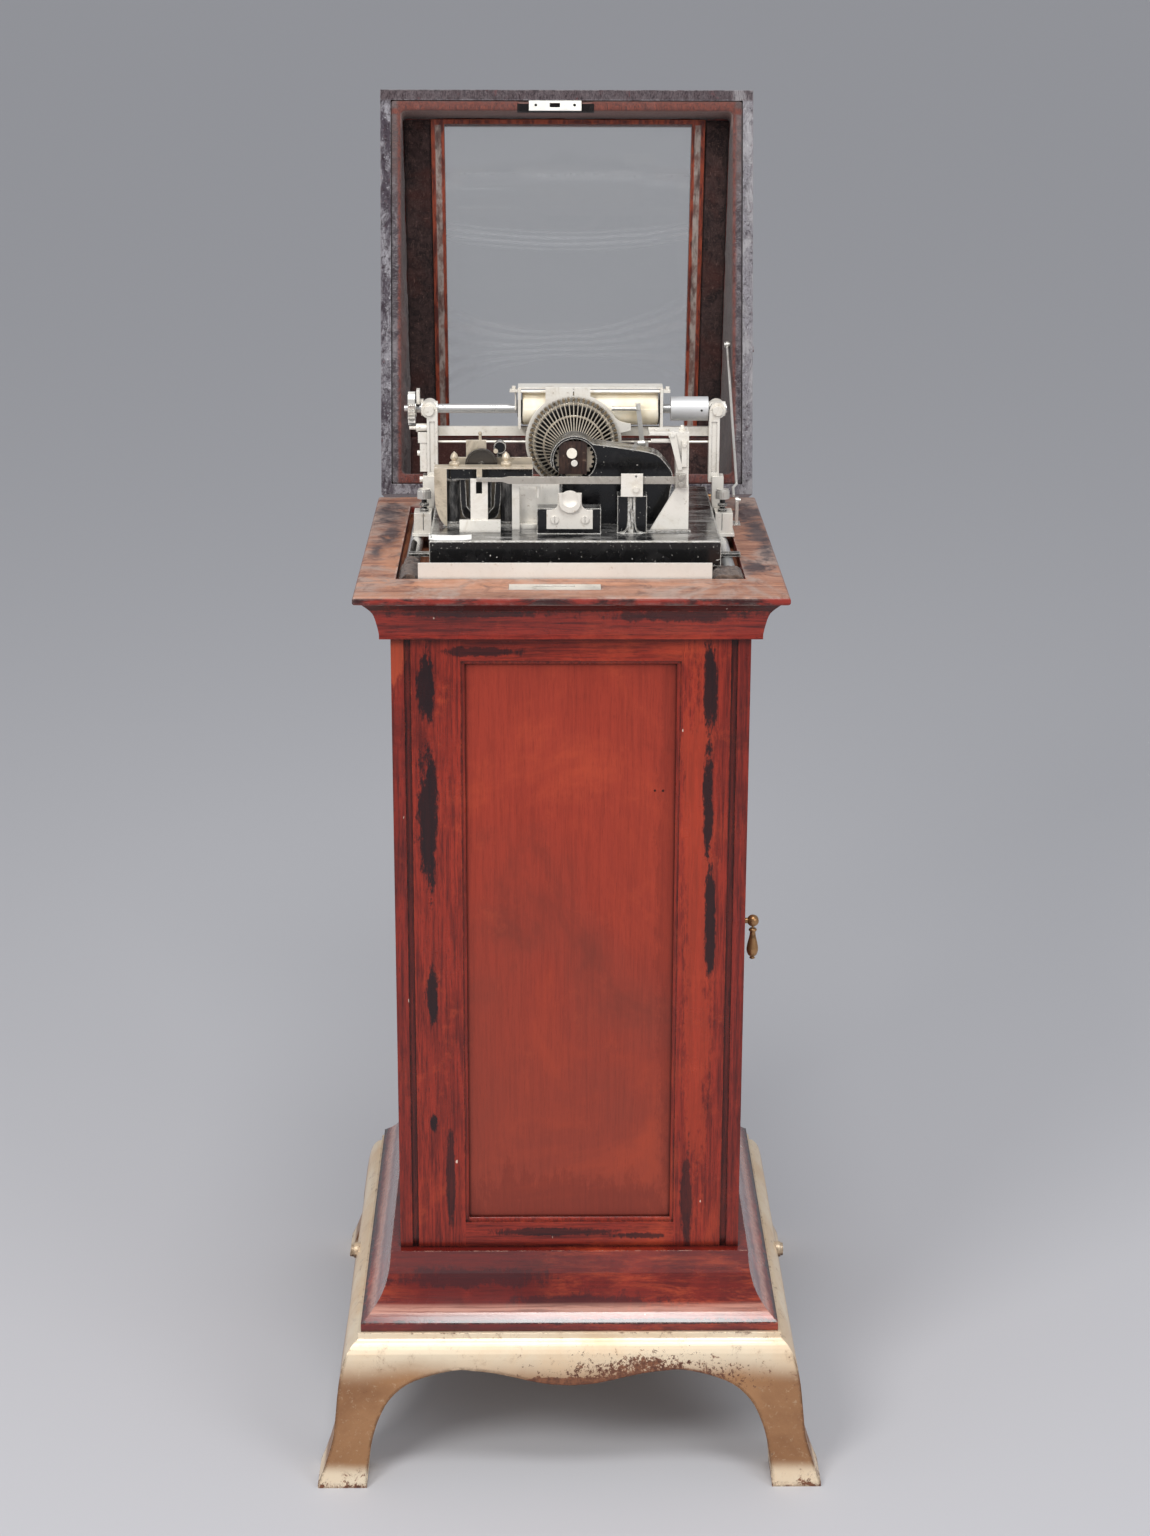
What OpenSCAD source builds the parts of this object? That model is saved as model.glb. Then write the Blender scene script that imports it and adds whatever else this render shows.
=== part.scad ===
/* [Cabinet] */
// Width of the deck
deck_w = 440; // [436:2:480]
// Depth of the deck from front to back
deck_d = 488; // [484:2:520]
// Height of the deck's top face above the floor
deck_top = 982; // [900:2:1050]
// Setback of the body from the deck's edge
body_inset = 36; // [33:0.5:39]
// How far the feet stand out past the deck's edge
foot_flare = 53.5; // [46:0.5:60]
// Height of the gilded base
base_h = 164; // [150:1:175]
// Height of the plinth
plinth_h = 80.5; // [70:0.5:90]
// Width of the border around each panel
stile_w = 51; // [44:1:58]

/* [Lid] */
// Inside height of the lid at its front wall
lid_front_h = 57; // [56:1:62]
// Rise of the sloping top for each millimetre towards the back
lid_slope = 0.5; // [0.49:0.005:0.54]
// How far the open lid leans back, in degrees
lid_lean = 15.2; // [12:0.2:18]
// Width of the glass opening
glass_w = 293; // [264:1:304]

/* [Machine] */
// Number of type spokes on the wheel
type_count = 54; // [40:1:58]
// Radius of the type wheel to the type faces
wheel_r = 49; // [47:0.5:49.5]
// Radius of the platen with its paper
platen_r = 18; // [16:0.25:18.2]
// Length of the platen
platen_len = 149; // [130:1:149]
// Radius of the feed shaft
shaft_r = 4.95; // [4:0.05:5]
// Number of teeth on the ratchet wheel
ratchet_teeth = 16; // [12:1:24]

/* [Fits] */
// Radial clearance of turning shafts
run_gap = 0.05; // [0.03:0.01:0.08]
// Gap around the door
door_gap = 0.6; // [0.5:0.1:1]

/* [Hidden] */
$fn = 64;

deck_t = 9;
cornice_h = 41;
body_w = deck_w - 2 * body_inset;
body_d = deck_d - 2 * body_inset;
bw = body_w / 2;
bd = body_d / 2;
body_bot = base_h + plinth_h;
body_top = deck_top - deck_t - cornice_h;
post = 20;
frame_t = 20;
rail_h = 29;
lip = 8;
panel_t = 7;
rebate = 7;

hinge_y = deck_d / 2 + 0.5;
hinge_z = deck_top + 0.8;
lid_len = deck_d - 18;
lid_w = deck_w - 6.8;
wall_t = 12;
lining_t = 12;
top_t = 14;
lid_in = lid_w / 2 - wall_t - lining_t;
ridge_s = 87;
front_s = lid_len - wall_t - lining_t;

// Height of the underside of the lid's top at the distance s from the hinge
function under(s) = lid_front_h + lid_slope * (front_s - 3 - max(s, ridge_s));
top_v = top_t * sqrt(1 + lid_slope * lid_slope);
cs = sin(lid_lean);
cc = cos(lid_lean);
back_reach = hinge_y + ridge_s * cs + (under(ridge_s) + top_v) * cc;
front_reach = deck_d / 2 + foot_flare;
shift_y = (front_reach - back_reach) / 2;

// The machine keeps its share of the deck when the deck's size changes
mk = min(deck_w / 440, deck_d / 488);
front_y = -165;
open_x0 = -180 * mk;
open_x1 = 180 * mk;
open_y0 = front_y * mk;
open_y1 = 190 * mk;

mx = 5;
axis_y = 75;
axis_z = 133.9;
wheel_z = 101.6;
base_top = 32;
arm_x = 154.2;
block_x = 164.5;
tube_x = 166.8;
tube_r = 7.5;

stud_s = 179.6;
stud_h = 34.5;
rod_x = lid_in - 3.4;

// A smooth curve through the points p with n steps in each stretch
function bend(a, b, c, d, t) = 0.5 * (2 * b + (c - a) * t + (2 * a - 5 * b + 4 * c - d) * t * t
    + (3 * b - a - 3 * c + d) * t * t * t);
function smooth(p, n) = concat(
    [for (i = [0:len(p) - 2]) for (k = [0:n - 1])
        bend(p[max(i - 1, 0)], p[i], p[i + 1], p[min(i + 2, len(p) - 1)], k / n)],
    [p[len(p) - 1]]);
// Both sides of a profile of [distance outward, height] around a core
function both(half, p) = concat([for (q = p) [half + q[0], q[1]]],
    [for (i = [len(p) - 1:-1:0]) [-half - p[i][0], p[i][1]]]);

// A four-sided mitred moulding around a core of half sizes hx and hy
module mitred(hx, hy, p) {
    intersection() {
        rotate([90, 0, 0])
            linear_extrude(2 * hy + 300, center = true)
                polygon(both(hx, p));
        rotate([90, 0, 90])
            linear_extrude(2 * hx + 300, center = true)
                polygon(both(hy, p));
    }
}

// A box centred in x and y, standing on z0
module slab(x, y, z0, z1) {
    translate([-x / 2, -y / 2, z0])
        cube([x, y, z1 - z0]);
}

// A box from its lower to its upper corner
module span(a, b) {
    translate(a)
        cube(b - a);
}

module rod_x_axis(x0, x1, r) {
    translate([x0, 0, 0])
        rotate([0, 90, 0])
            cylinder(h = x1 - x0, r = r);
}

module rod_y_axis(y0, y1, r) {
    translate([0, y1, 0])
        rotate([90, 0, 0])
            cylinder(h = y1 - y0, r = r);
}

module on_floor() {
    translate([0, shift_y, 0])
        children();
}

module on_deck() {
    translate([mx * mk, shift_y, deck_top])
        scale([mk, mk, mk])
            children();
}

// Takes the closed lid, with its hinge line at the origin, to where it stands open
module open_lid() {
    translate([0, hinge_y + shift_y, hinge_z])
        rotate([-90 - lid_lean, 0, 0])
            children();
}

foot_curve = concat([[foot_flare, 0]], smooth([[foot_flare, 5], [46, 23], [37.5, 50], [34.5, 74],
    [30.5, 112], [24.5, 139], [17, 152], [12, 156]], 3));

module gilded_base() {
    color("darkgoldenrod")
    difference() {
        mitred(deck_w / 2, deck_d / 2, [for (p = concat(foot_curve, [[10, 157.5], [10, 164]]))
            [p[0], p[1] * base_h / 164]]);
        arch(deck_w / 440, deck_d);
        rotate([0, 0, 90])
            arch(deck_d / 440, deck_w);
        slab(deck_w - 16, deck_d - 16, -1, 150 * base_h / 164);
    }
    // small ears at mid depth on both sides
    color("darkgoldenrod")
    translate([0, 0, 134 * base_h / 164])
        for (i = [-1, 1]) {
            rod_x_axis(min(i * (deck_w / 2 + 33), i * (deck_w / 2 + 4)),
                max(i * (deck_w / 2 + 33), i * (deck_w / 2 + 4)), 7.5);
            rod_x_axis(min(i * (deck_w / 2 + 30), i * (deck_w / 2 + 4)),
                max(i * (deck_w / 2 + 30), i * (deck_w / 2 + 4)), 9);
        }
}

module arch(k, deep) {
    side = smooth([[220.5, -1], [218, 29], [214, 52], [207, 74], [196, 95], [177, 112.5], [150, 123],
        [122, 128.5], [103, 127.5], [76, 124], [30, 114], [0, 111.5]], 3);
    rotate([90, 0, 0])
        linear_extrude(deep + 200, center = true)
            polygon(concat([for (q = side) [q[0] * k, q[1] * base_h / 164]],
                [for (i = [len(side) - 2:-1:0]) [-side[i][0] * k, side[i][1] * base_h / 164]]));
}

module plinth_skirt() {
    rise = plinth_h;
    p = concat([[6.5 + body_inset, 0], [6.5 + body_inset, 9.5]],
        [for (q = smooth([[41.5, 10], [29.5, 21], [19.5, 36], [13.3, 55], [10.5, 76]], 4))
            [q[0] + body_inset - 36, q[1] * rise / 80.5]],
        [[10.5, rise], [0, rise]]);
    color("saddlebrown")
    translate([0, 0, base_h])
    difference() {
        mitred(bw, bd, p);
        slab(body_w - 28, body_d - 28, -1, rise + 1);
    }
}

module bottom_board() {
    color("sienna")
        slab(body_w - 28, body_d - 28, body_bot - 14, body_bot);
}

module corner_posts() {
    color("brown")
    for (i = [-1, 1], j = [-1, 1])
        difference() {
            translate([i * (bw - post / 2), j * (bd - post / 2), 0])
                slab(post, post, body_bot, body_top);
            // grooves beside the post on both faces
            translate([i * (bw - post + 3.4), j * (bd - 1), 0])
                slab(6.8, 5, body_bot - 1, body_top + 1);
            translate([i * (bw - 1), j * (bd - post + 3.4), 0])
                slab(5, 6.8, body_bot - 1, body_top + 1);
        }
}

// A frame with a rebated opening, w wide between the posts, its face towards -y at y = 0
module panel_frame(w, z0, z1) {
    difference() {
        translate([-w / 2, 0, z0])
            cube([w, frame_t, z1 - z0]);
        translate([stile_w - w / 2, -1, z0 + rail_h])
            cube([w - 2 * stile_w, frame_t + 2, z1 - z0 - rail_h - 26]);
        translate([stile_w - w / 2 - rebate, lip, z0 + rail_h - rebate])
            cube([w - 2 * stile_w + 2 * rebate, frame_t, z1 - z0 - rail_h - 26 + 2 * rebate]);
    }
    // small rounded bead along the opening
    intersection() {
        difference() {
            translate([stile_w - w / 2, 0, z0 + rail_h])
                cube([w - 2 * stile_w, lip, z1 - z0 - rail_h - 26]);
            translate([stile_w - w / 2 + 4, -1, z0 + rail_h + 4])
                cube([w - 2 * stile_w - 8, lip + 2, z1 - z0 - rail_h - 34]);
        }
        union() {
            for (x = [stile_w - w / 2, w / 2 - stile_w])
                translate([x, lip, z0])
                    cylinder(h = z1 - z0, r = 5.2);
            for (z = [z0 + rail_h, z1 - 26])
                translate([0, lip, z])
                    rod_x_axis(-w / 2, w / 2, 5.2);
        }
    }
}

module frame_panel(w, z0, z1) {
    translate([stile_w - w / 2 - rebate, lip, z0 + rail_h - rebate])
        cube([w - 2 * stile_w + 2 * rebate, panel_t, z1 - z0 - rail_h - 26 + 2 * rebate]);
}

module front_frame() {
    color("firebrick")
    translate([0, -bd, 0])
        panel_frame(body_w - 2 * post, body_bot, body_top);
}

module front_panel() {
    color("indianred")
    translate([0, -bd, 0])
        frame_panel(body_w - 2 * post, body_bot, body_top);
}

module left_frame() {
    color("firebrick")
    translate([-bw, 0, 0])
        rotate([0, 0, -90])
            panel_frame(body_d - 2 * post, body_bot, body_top);
}

module left_panel() {
    color("indianred")
    translate([-bw, 0, 0])
        rotate([0, 0, -90])
            frame_panel(body_d - 2 * post, body_bot, body_top);
}

module back_frame() {
    color("firebrick")
    translate([0, bd, 0])
        rotate([0, 0, 180])
            panel_frame(body_w - 2 * post, body_bot, body_top);
}

module back_panel() {
    color("indianred")
    translate([0, bd, 0])
        rotate([0, 0, 180])
            frame_panel(body_w - 2 * post, body_bot, body_top);
}

door_half = bd - post - door_gap;

module door_frame() {
    color("firebrick")
    translate([bw, 0, 0])
        rotate([0, 0, 90])
            panel_frame(2 * door_half, body_bot + door_gap, body_top - door_gap);
}

module door_panel() {
    color("indianred")
    translate([bw, 0, 0])
        rotate([0, 0, 90])
            frame_panel(2 * door_half, body_bot + door_gap, body_top - door_gap);
}

pull_y = -bd + post + 8;
pull_z = body_bot + 0.536 * (body_top - body_bot);
pull_x = bw + 10.5;

module door_fittings() {
    color("goldenrod")
    translate([0, pull_y, pull_z])
    difference() {
        union() {
            rod_x_axis(bw, bw + 1.5, 7.5);
            rod_x_axis(bw, pull_x - 4, 3);
            translate([pull_x, 0, 0])
                sphere(r = 6.4);
        }
        span([pull_x - 4.6, -2, -8], [pull_x + 8, 2, 4.6]);
    }
    color("goldenrod")
    translate([pull_x, pull_y, pull_z])
        rod_y_axis(-3, 3, 1.2);
    // the door's halves of the hinges
    color("peru")
    for (z = door_hinge_zs)
        translate([door_hinge_x, door_hinge_y, z]) {
            knuckles(3, [1], 60);
            translate([-3.2, -12, -10])
                cube([1.2, 10.4, 19.7]);
            translate([-2.2, -4.1, -10])
                cube([1.6, 2.2, 19.7]);
        }
}

module drop_pull() {
    color("darkgoldenrod")
    translate([pull_x, pull_y, pull_z])
    difference() {
        union() {
            rod_y_axis(-1.6, 1.6, 3.6);
            translate([-1.2, -1.2, -9])
                cube([2.4, 2.4, 8]);
            translate([0, 0, -44])
                rotate_extrude()
                    polygon(concat([[0, 35.5]], smooth([[3.2, 35.5], [4.4, 33.6], [3, 31], [3.6, 26],
                        [5.6, 17], [6.2, 11], [4.8, 6], [2.2, 3.4], [3, 1.6], [0, 0]], 4)));
        }
        rod_y_axis(-3, 3, 1.2 + run_gap);
    }
}

hinge_at = [-1, 1];

module knuckles(r, parts, len) {
    for (k = parts)
        translate([0, 0, (k - 1.5) * len / 3])
            difference() {
                cylinder(h = len / 3 - 0.3, r = r);
                translate([0, 0, -1])
                    cylinder(h = len, r = 1.2 + run_gap);
            }
}

door_hinge_x = bw + 3.2;
door_hinge_y = door_half + 1.2;
door_hinge_zs = [body_bot + 90, body_top - 90];

module door_hinges() {
    color("peru")
    for (z = door_hinge_zs)
        translate([door_hinge_x, door_hinge_y, z]) {
            knuckles(3, [0, 2], 60);
            translate([0, 0, -30])
                cylinder(h = 60, r = 1.2);
            translate([0, 0, -31])
                cylinder(h = 1, r = 3);
            translate([0, 0, 29.7])
                cylinder(h = 1, r = 3);
            for (k = [0, 2])
                translate([-3.2, 1.2, (k - 1.5) * 20])
                    cube([1.2, 10, 19.7]);
            for (k = [0, 2])
                translate([-2.2, 1.9, (k - 1.5) * 20])
                    cube([1.6, 2.2, 19.7]);
        }
}

module top_frame() {
    color("peru")
    difference() {
        slab(body_w, body_d, body_top, deck_top - deck_t);
        span([-150 * mk, open_y0 + 0.5 * mk, body_top - 1], [150 * mk, open_y1, deck_top]);
        span([-bw + 2, open_y0, deck_top - 13.5], [bw - 2, open_y1, deck_top]);
    }
}

module cornice() {
    p = concat([[0, 0], [11, 0]], smooth([[11, 5], [12.9, 15], [17.2, 28.6], [27, 39.6]], 4),
        [[27.2, cornice_h], [0, cornice_h]]);
    color("firebrick")
    translate([0, 0, body_top])
    difference() {
        mitred(bw, bd, p);
        slab(body_w, body_d, -1, cornice_h + 1);
    }
}

deck_prof = [for (a = [-90:15:90]) [-3.6 + 3.6 * cos(a), (a > 0 ? 5.4 : 3.6) + 3.6 * sin(a)]];

module deck() {
    color("chocolate")
    difference() {
        translate([0, 0, deck_top - deck_t])
            mitred(deck_w / 2, deck_d / 2, deck_prof);
        span([open_x0, open_y0, deck_top - 20], [open_x1, open_y1, deck_top + 5]);
        translate([0, 0, deck_top - 2])
            span([-63.4, -deck_d / 2 + 32, 0], [30.4, -deck_d / 2 + 56.4, 5]);
        translate([0, 0, deck_top - 8])
            span([-39, -deck_d / 2 + 44, 0], [5, -deck_d / 2 + 51, 9]);
        for (i = hinge_at)
            translate([i * 140, hinge_y, hinge_z])
                rod_x_axis(-31, 31, 2.8);
    }
}

module deck_lock() {
    color("lightgray")
    difference() {
        span([-63.2, -deck_d / 2 + 32.2, deck_top - 2], [30.2, -deck_d / 2 + 56.2, deck_top]);
        span([-38, -deck_d / 2 + 46, deck_top - 9], [4, -deck_d / 2 + 49, deck_top + 2]);
        for (x = [-56, 23])
            translate([x, -deck_d / 2 + 44, deck_top - 3])
                cylinder(h = 5, r = 1.6);
    }
    color("lightgray")
    for (x = [-56, 23])
        translate([x, -deck_d / 2 + 44, deck_top - 2])
            cylinder(h = 1.7, r = 1.6);
}

module deck_fittings() {
    deck_lock();
    stay_post();
}

eye_y = 97;

module stay_post() {
    color("silver")
    translate([rod_x - 1.2, eye_y, deck_top]) {
        span([-1.7, -4, 0], [1.7, 4, 26]);
        span([-5, -9, 0], [4, 12, 1.2]);
        difference() {
            translate([0, 0, 27])
                rod_x_axis(-1.7, 1.7, 4);
            translate([0, 0, 27])
                rod_x_axis(-3, 3, 1.6);
        }
        translate([0, 0, 27])
            rod_x_axis(1.7, 4.2, 2.4);
    }
}

module lid_hinges() {
    color("peru")
    for (i = hinge_at)
        translate([i * 140, hinge_y + shift_y, hinge_z]) {
            rotate([0, 90, 0]) {
                knuckles(2.4, [0, 2], 60);
                translate([0, 0, -30])
                    cylinder(h = 59.7, r = 1.2);
            }
            for (k = [0, 2])
                translate([(k - 1.5) * 20, -0.5, -11.5])
                    cube([19.7, 1.2, 11]);
        }
}

// Fixed leaves of all hinges
module hinge_leaves() {
    on_floor()
        door_hinges();
    lid_hinges();
}

module lid_knuckles() {
    color("peru")
    for (i = hinge_at)
        translate([i * 140, 0, 0]) {
            rotate([0, 90, 0])
                knuckles(2.4, [1], 60);
            translate([-10, -2, 1.05])
                cube([19.7, 1.2, 15]);
        }
}

// The lid is drawn closed: s runs forward from the hinge, along -y
module lid_side(x0, x1, inset, drop) {
    a = 2 + inset;
    b = lid_len - inset;
    translate([x1, 0, 0])
        rotate([90, 0, -90])
            linear_extrude(x1 - x0)
                polygon([[a, 0], [b, 0], [b, under(b) - drop], [ridge_s, under(ridge_s) - drop],
                    [a, under(ridge_s) - drop]]);
}

module lid_walls() {
    color("rosybrown")
    difference() {
        lid_side(-lid_w / 2, lid_w / 2, 0, 0);
        lid_side(-lid_w / 2 + wall_t, lid_w / 2 - wall_t, wall_t, -60);
        for (i = hinge_at)
            translate([i * 140, 0, 0])
                rod_x_axis(-31, 31, 2.8);
    }
    // small screw on the right side
    color("silver")
    translate([0, -171, 4.5])
        rod_x_axis(lid_w / 2, lid_w / 2 + 1.5, 3.2);
}

module lid_lining() {
    color("dimgray")
    difference() {
        lid_side(-lid_w / 2 + wall_t, lid_w / 2 - wall_t, wall_t, 2);
        lid_side(-lid_in, lid_in, wall_t + lining_t, -60);
        span([-58, -lid_len, -1], [30, -front_s + 1, 3]);
    }
}

// The sloping frame lies on the walls; the flat board joins it at the ridge
module slope_slab(x0, x1, s0, s1, lo, hi) {
    translate([x1, 0, 0])
        rotate([90, 0, -90])
            linear_extrude(x1 - x0)
                polygon([[s0, under(s0) + lo], [s1, under(s1) + lo], [s1, under(s1) + hi],
                    [s0, under(s0) + hi]]);
}

glass_s0 = ridge_s + 13;
glass_s1 = front_s - 5;
glass_x = 2;

module lid_top() {
    color("brown")
    difference() {
        union() {
            slope_slab(-lid_w / 2, lid_w / 2, ridge_s, lid_len, 0, top_v);
            slope_slab(-lid_w / 2, lid_w / 2, 2, ridge_s, 0, top_v);
        }
        translate([glass_x, 0, 0]) {
            slope_slab(-glass_w / 2, glass_w / 2, glass_s0, glass_s1, -5, 30);
            slope_slab(-glass_w / 2 - 6, glass_w / 2 + 6, glass_s0 - 6, glass_s1 + 6, 6, 9.3);
        }
    }
}

module lid_glass() {
    color("lightcyan", 0.35)
    translate([glass_x, 0, 0])
        slope_slab(-glass_w / 2 - 5.8, glass_w / 2 + 5.8, glass_s0 - 5.8, glass_s1 + 5.8, 6.1, 9.2);
}

module lid_bead() {
    color("firebrick")
    translate([glass_x, 0, 0])
    difference() {
        slope_slab(-glass_w / 2 - 15.5, glass_w / 2 + 15.5, glass_s0 - 8, glass_s1 + 4.6, -5, 0);
        slope_slab(-glass_w / 2, glass_w / 2, glass_s0, glass_s1, -7, 2);
    }
}

module lid_felt() {
    color("black")
    for (i = [-1, 1])
        slope_slab(i < 0 ? -lid_in : glass_x + glass_w / 2 + 15.7,
            i < 0 ? glass_x - glass_w / 2 - 15.7 : lid_in,
            ridge_s, front_s, -2, 0);
    color("black")
        slope_slab(-lid_in, lid_in, 2 + wall_t + lining_t, ridge_s, -2, 0);
}

module lid_fittings() {
    color("lightgray")
    difference() {
        span([-44, -front_s - 11.8, 0.2], [17, -front_s - 0.2, 2.2]);
        for (x = [-36, 9])
            translate([x, -front_s - 6.6, -1])
                cylinder(h = 5, r = 1.6);
        span([-20, -front_s - 9, -1], [-8, -front_s - 4, 5]);
    }
    // stud of the stay on the right inner wall
    color("silver")
    translate([0, -stud_s, stud_h]) {
        rod_x_axis(rod_x - 2.4, lid_in, 1.8);
        rod_x_axis(rod_x - 3.4, rod_x - 1.9, 3.2);
        rod_x_axis(rod_x + 1.9, lid_in, 3.6);
    }
}

// The stay rod in its own frame: from the stud down to its cranked end
stud_y = hinge_y + stud_s * cs + stud_h * cc;
stud_z = hinge_z + stud_s * cc - stud_h * cs;
rod_dy = eye_y + 12 - stud_y;
rod_dz = deck_top + 29 - stud_z;
rod_len = sqrt(rod_dy * rod_dy + rod_dz * rod_dz);
rod_turn = atan2(rod_dz, -rod_dy);

module stay_rod() {
    color("silver")
    translate([rod_x, stud_y, stud_z])
        rotate([-rod_turn, 0, 0]) {
            difference() {
                rod_x_axis(-1.6, 1.6, 4.4);
                rod_x_axis(-3, 3, 1.8 + run_gap);
            }
            rod_y_axis(20 - rod_len, -4, 1.5);
            // cranked end
            translate([0, 20 - rod_len, 0]) {
                sphere(r = 1.62);
                rotate([0, 0, -35])
                    rod_y_axis(-7, 0, 1.5);
            }
            translate([-4, 14.3 - rod_len, 0]) {
                sphere(r = 1.62);
                rod_y_axis(-14, 0, 1.5);
            }
        }
}

// Machine pieces are drawn from the deck's top face and the machine's centre line
module machine_base() {
    clamp_studs();
    color("black")
    difference() {
        union() {
            span([-151.5, -130, 5], [151.5, 150, base_top - 1]);
            span([-150.5, -129, base_top - 1], [150.5, 149, base_top]);
            // post of the lever
            span([44.4, -92, base_top], [75.4, -70, 71.4]);
            span([55.8, -94.5, base_top], [62.8, -92, 71.4]);
            // front block
            span([-39.7, -97, base_top], [27.2, -75, 59.1]);
            // low pad under the coils
            span([-138.5, -59, base_top], [-44, -30.5, base_top + 2]);
            // low ledge under the tapered plate
            span([75.4, -88, base_top], [121.5, -79, base_top + 2]);
            // foot of the rib
            translate([0, -92, 0])
                rotate([90, 0, 0])
                    linear_extrude(2.5)
                        polygon(concat(smooth([[46, 32], [51.5, 33.4], [54.6, 37], [55.8, 45]], 3),
                            smooth([[62.8, 45], [64, 37], [67.1, 33.4], [72.6, 32]], 3)));
            // front lugs on the tubes
            span([-176, -71, 1.5], [176, -60, 5]);
        }
        span([-144, -122, 4], [144, 142, 24]);
    }
}

module front_strip() {
    color("linen")
        span([-162, front_y + 0.5, -13.5], [140.5, front_y + 3.5, 16.3]);
}

module side_tubes() {
    color("silver")
    for (i = [-1, 1])
        translate([i * tube_x - mx, 0, 1.5 - tube_r])
            difference() {
                rod_y_axis(i < 0 ? -72 : -112, 160, tube_r);
                rod_y_axis(-200, 200, tube_r - 1.5);
            }
}

// One unbroken tube of six sides wound along +y
module coil_spring(turns, pitch, r, wire) {
    rings = turns * 8;
    pts = [for (i = [0:rings]) for (k = [0:5])
        let (a = i * 45, b = k * 60, rr = r + wire * cos(b))
            [rr * sin(a), i * pitch / 8 + wire * sin(b), rr * cos(a)]];
    sides = [for (i = [0:rings - 1]) for (k = [0:5])
        let (a = i * 6 + k, b = i * 6 + (k + 1) % 6)
            each [[a, b, b + 6], [a, b + 6, a + 6]]];
    polyhedron(points = pts, faces = concat([[5, 4, 3, 2, 1, 0]], sides,
        [[for (k = [0:5]) rings * 6 + k]]));
}
spring_pitch = 5;
spring_wire = 0.6;
echo(least_spring_gap = spring_pitch - 2 * spring_wire);

module small_spring() {
    color("dimgray")
    translate([-tube_x - mx, -57, 1.7 + 2.6 + spring_wire])
        coil_spring(8, spring_pitch, 2.6, spring_wire);
}

module felt_wads() {
    color("rosybrown")
    intersection() {
        union() {
            translate([-167 - mx, 0, -5])
                rod_y_axis(-160, -73, 9.5);
            translate([-170 - mx, 0, -8])
                rod_y_axis(-150, -90, 9);
        }
        span([-179.6 - mx, -161, -13.5], [-154 - mx, -73, 20]);
    }
    color("rosybrown")
    intersection() {
        union() {
            for (x = [155, 171])
                translate([x - mx, 0, -5.5])
                    rod_y_axis(-160, -113, 9.3);
            span([155 - mx, -158, -13.5], [171 - mx, -114, 3]);
        }
        span([146.5 - mx, -160.5, -13.5], [179.6 - mx, -112.5, 4]);
    }
}

module rail_blocks() {
    // flat bar under the base, lying on the tubes
    color("silver")
        span([-176, 26, 1.5], [176, 76, 5]);
    for (i = [-1, 1])
        translate([i * block_x, 0, 0]) {
            color("wheat")
            difference() {
                span([-9.5, 28, 5], [9.5, 55.7, 27]);
                span([-1.2 - i * 1.5, 27, 8], [-0.4 - i * 1.5, 30, 28]);
            }
        }
}

module clamp_studs() {
    color("black")
    for (i = [-1, 1])
        translate([i * (block_x - 1.5), 38, 0]) {
            translate([0, 0, 27])
                cylinder(h = 3, r = 5);
            translate([0, 0, 30])
                cylinder(h = 20, r = 3);
            translate([0, 0, 33.5])
                cylinder(h = 2.5, r = 5.2);
        }
}

module knurled_nut() {
    difference() {
        union() {
            difference() {
                cylinder(h = 8.6, r = 7.6);
                for (a = [0:15:345])
                    rotate([0, 0, a])
                        translate([7.9, 0, -1])
                            cylinder(h = 13, r = 0.6);
            }
            cylinder(h = 10.4, r = 6.7);
        }
        translate([0, 0, -1])
            cylinder(h = 10.4, r = 3 + run_gap);
    }
}

nut_z = 41.6;

module left_nut() {
    color("silver")
    translate([-block_x + 1.5, 38, nut_z])
        knurled_nut();
}

module right_nut() {
    color("silver")
    translate([block_x - 1.5, 38, nut_z])
        knurled_nut();
}

module side_arms() {
    color("wheat")
    for (i = [-1, 1])
        difference() {
            union() {
                // foot beside the base
                span([i > 0 ? 152.5 : -165, 55.7, 5], [i > 0 ? 165 : -152.5, 74, 62]);
                // upright with a sunk middle
                difference() {
                    span([i * arm_x - 5.8, 60, 55], [i * arm_x + 5.8, 74, axis_z]);
                    span([i * arm_x - 3, 59, 66], [i * arm_x + 3, 61.5, axis_z - 12]);
                }
                // bearing housing
                translate([i * 157.5, 0, axis_z])
                    rod_y_axis(62, 90, 8.8);
                translate([0, axis_y, axis_z])
                    rod_x_axis(i > 0 ? 148.4 : -166.5, i > 0 ? 166.5 : -148.4, 8);
                // round screw head
                translate([i * 157.5, 0, axis_z])
                    rod_y_axis(57, 62, 5.4);
            }
            translate([0, axis_y, axis_z])
                rod_x_axis(-180, 180, shaft_r + run_gap);
        }
    // left stud with its stepped end and the block below it
    color("silver") {
        translate([0, 67, 114])
            rod_x_axis(-172, -159.9, 4.6);
        translate([0, 67, 114])
            rod_x_axis(-179.4, -172, 2.2);
        span([-170, 62, 98], [-159.9, 72, 109.8]);
        span([-168, 63, 66], [-159.9, 71, 98]);
        translate([0, 67, 86])
            rod_x_axis(-171, -168, 3);
        translate([0, 64, 57.5])
            rod_x_axis(-168.6, -165, 3.2);
    }
    // pawl plate over the ratchet wheel
    color("silver") {
        span([-171.4, 68, axis_z + 5.6], [-168, 82, axis_z + 21]);
        span([-168, 71, axis_z + 5.6], [-164, 79, axis_z + 10]);
    }
}

module rear_rail() {
    color("wheat")
        span([-148.4, 78.2, 103], [148.4, 84.2, 113]);
    color("wheat")
    for (i = [-1, 1])
        span([i > 0 ? 148.4 : -160, 74, 103], [i > 0 ? 160 : -148.4, 84.2, 113]);
    color("gray")
    translate([0, 70, 98])
        rod_x_axis(-148.4, 148.4, 1.3);
}

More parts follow.
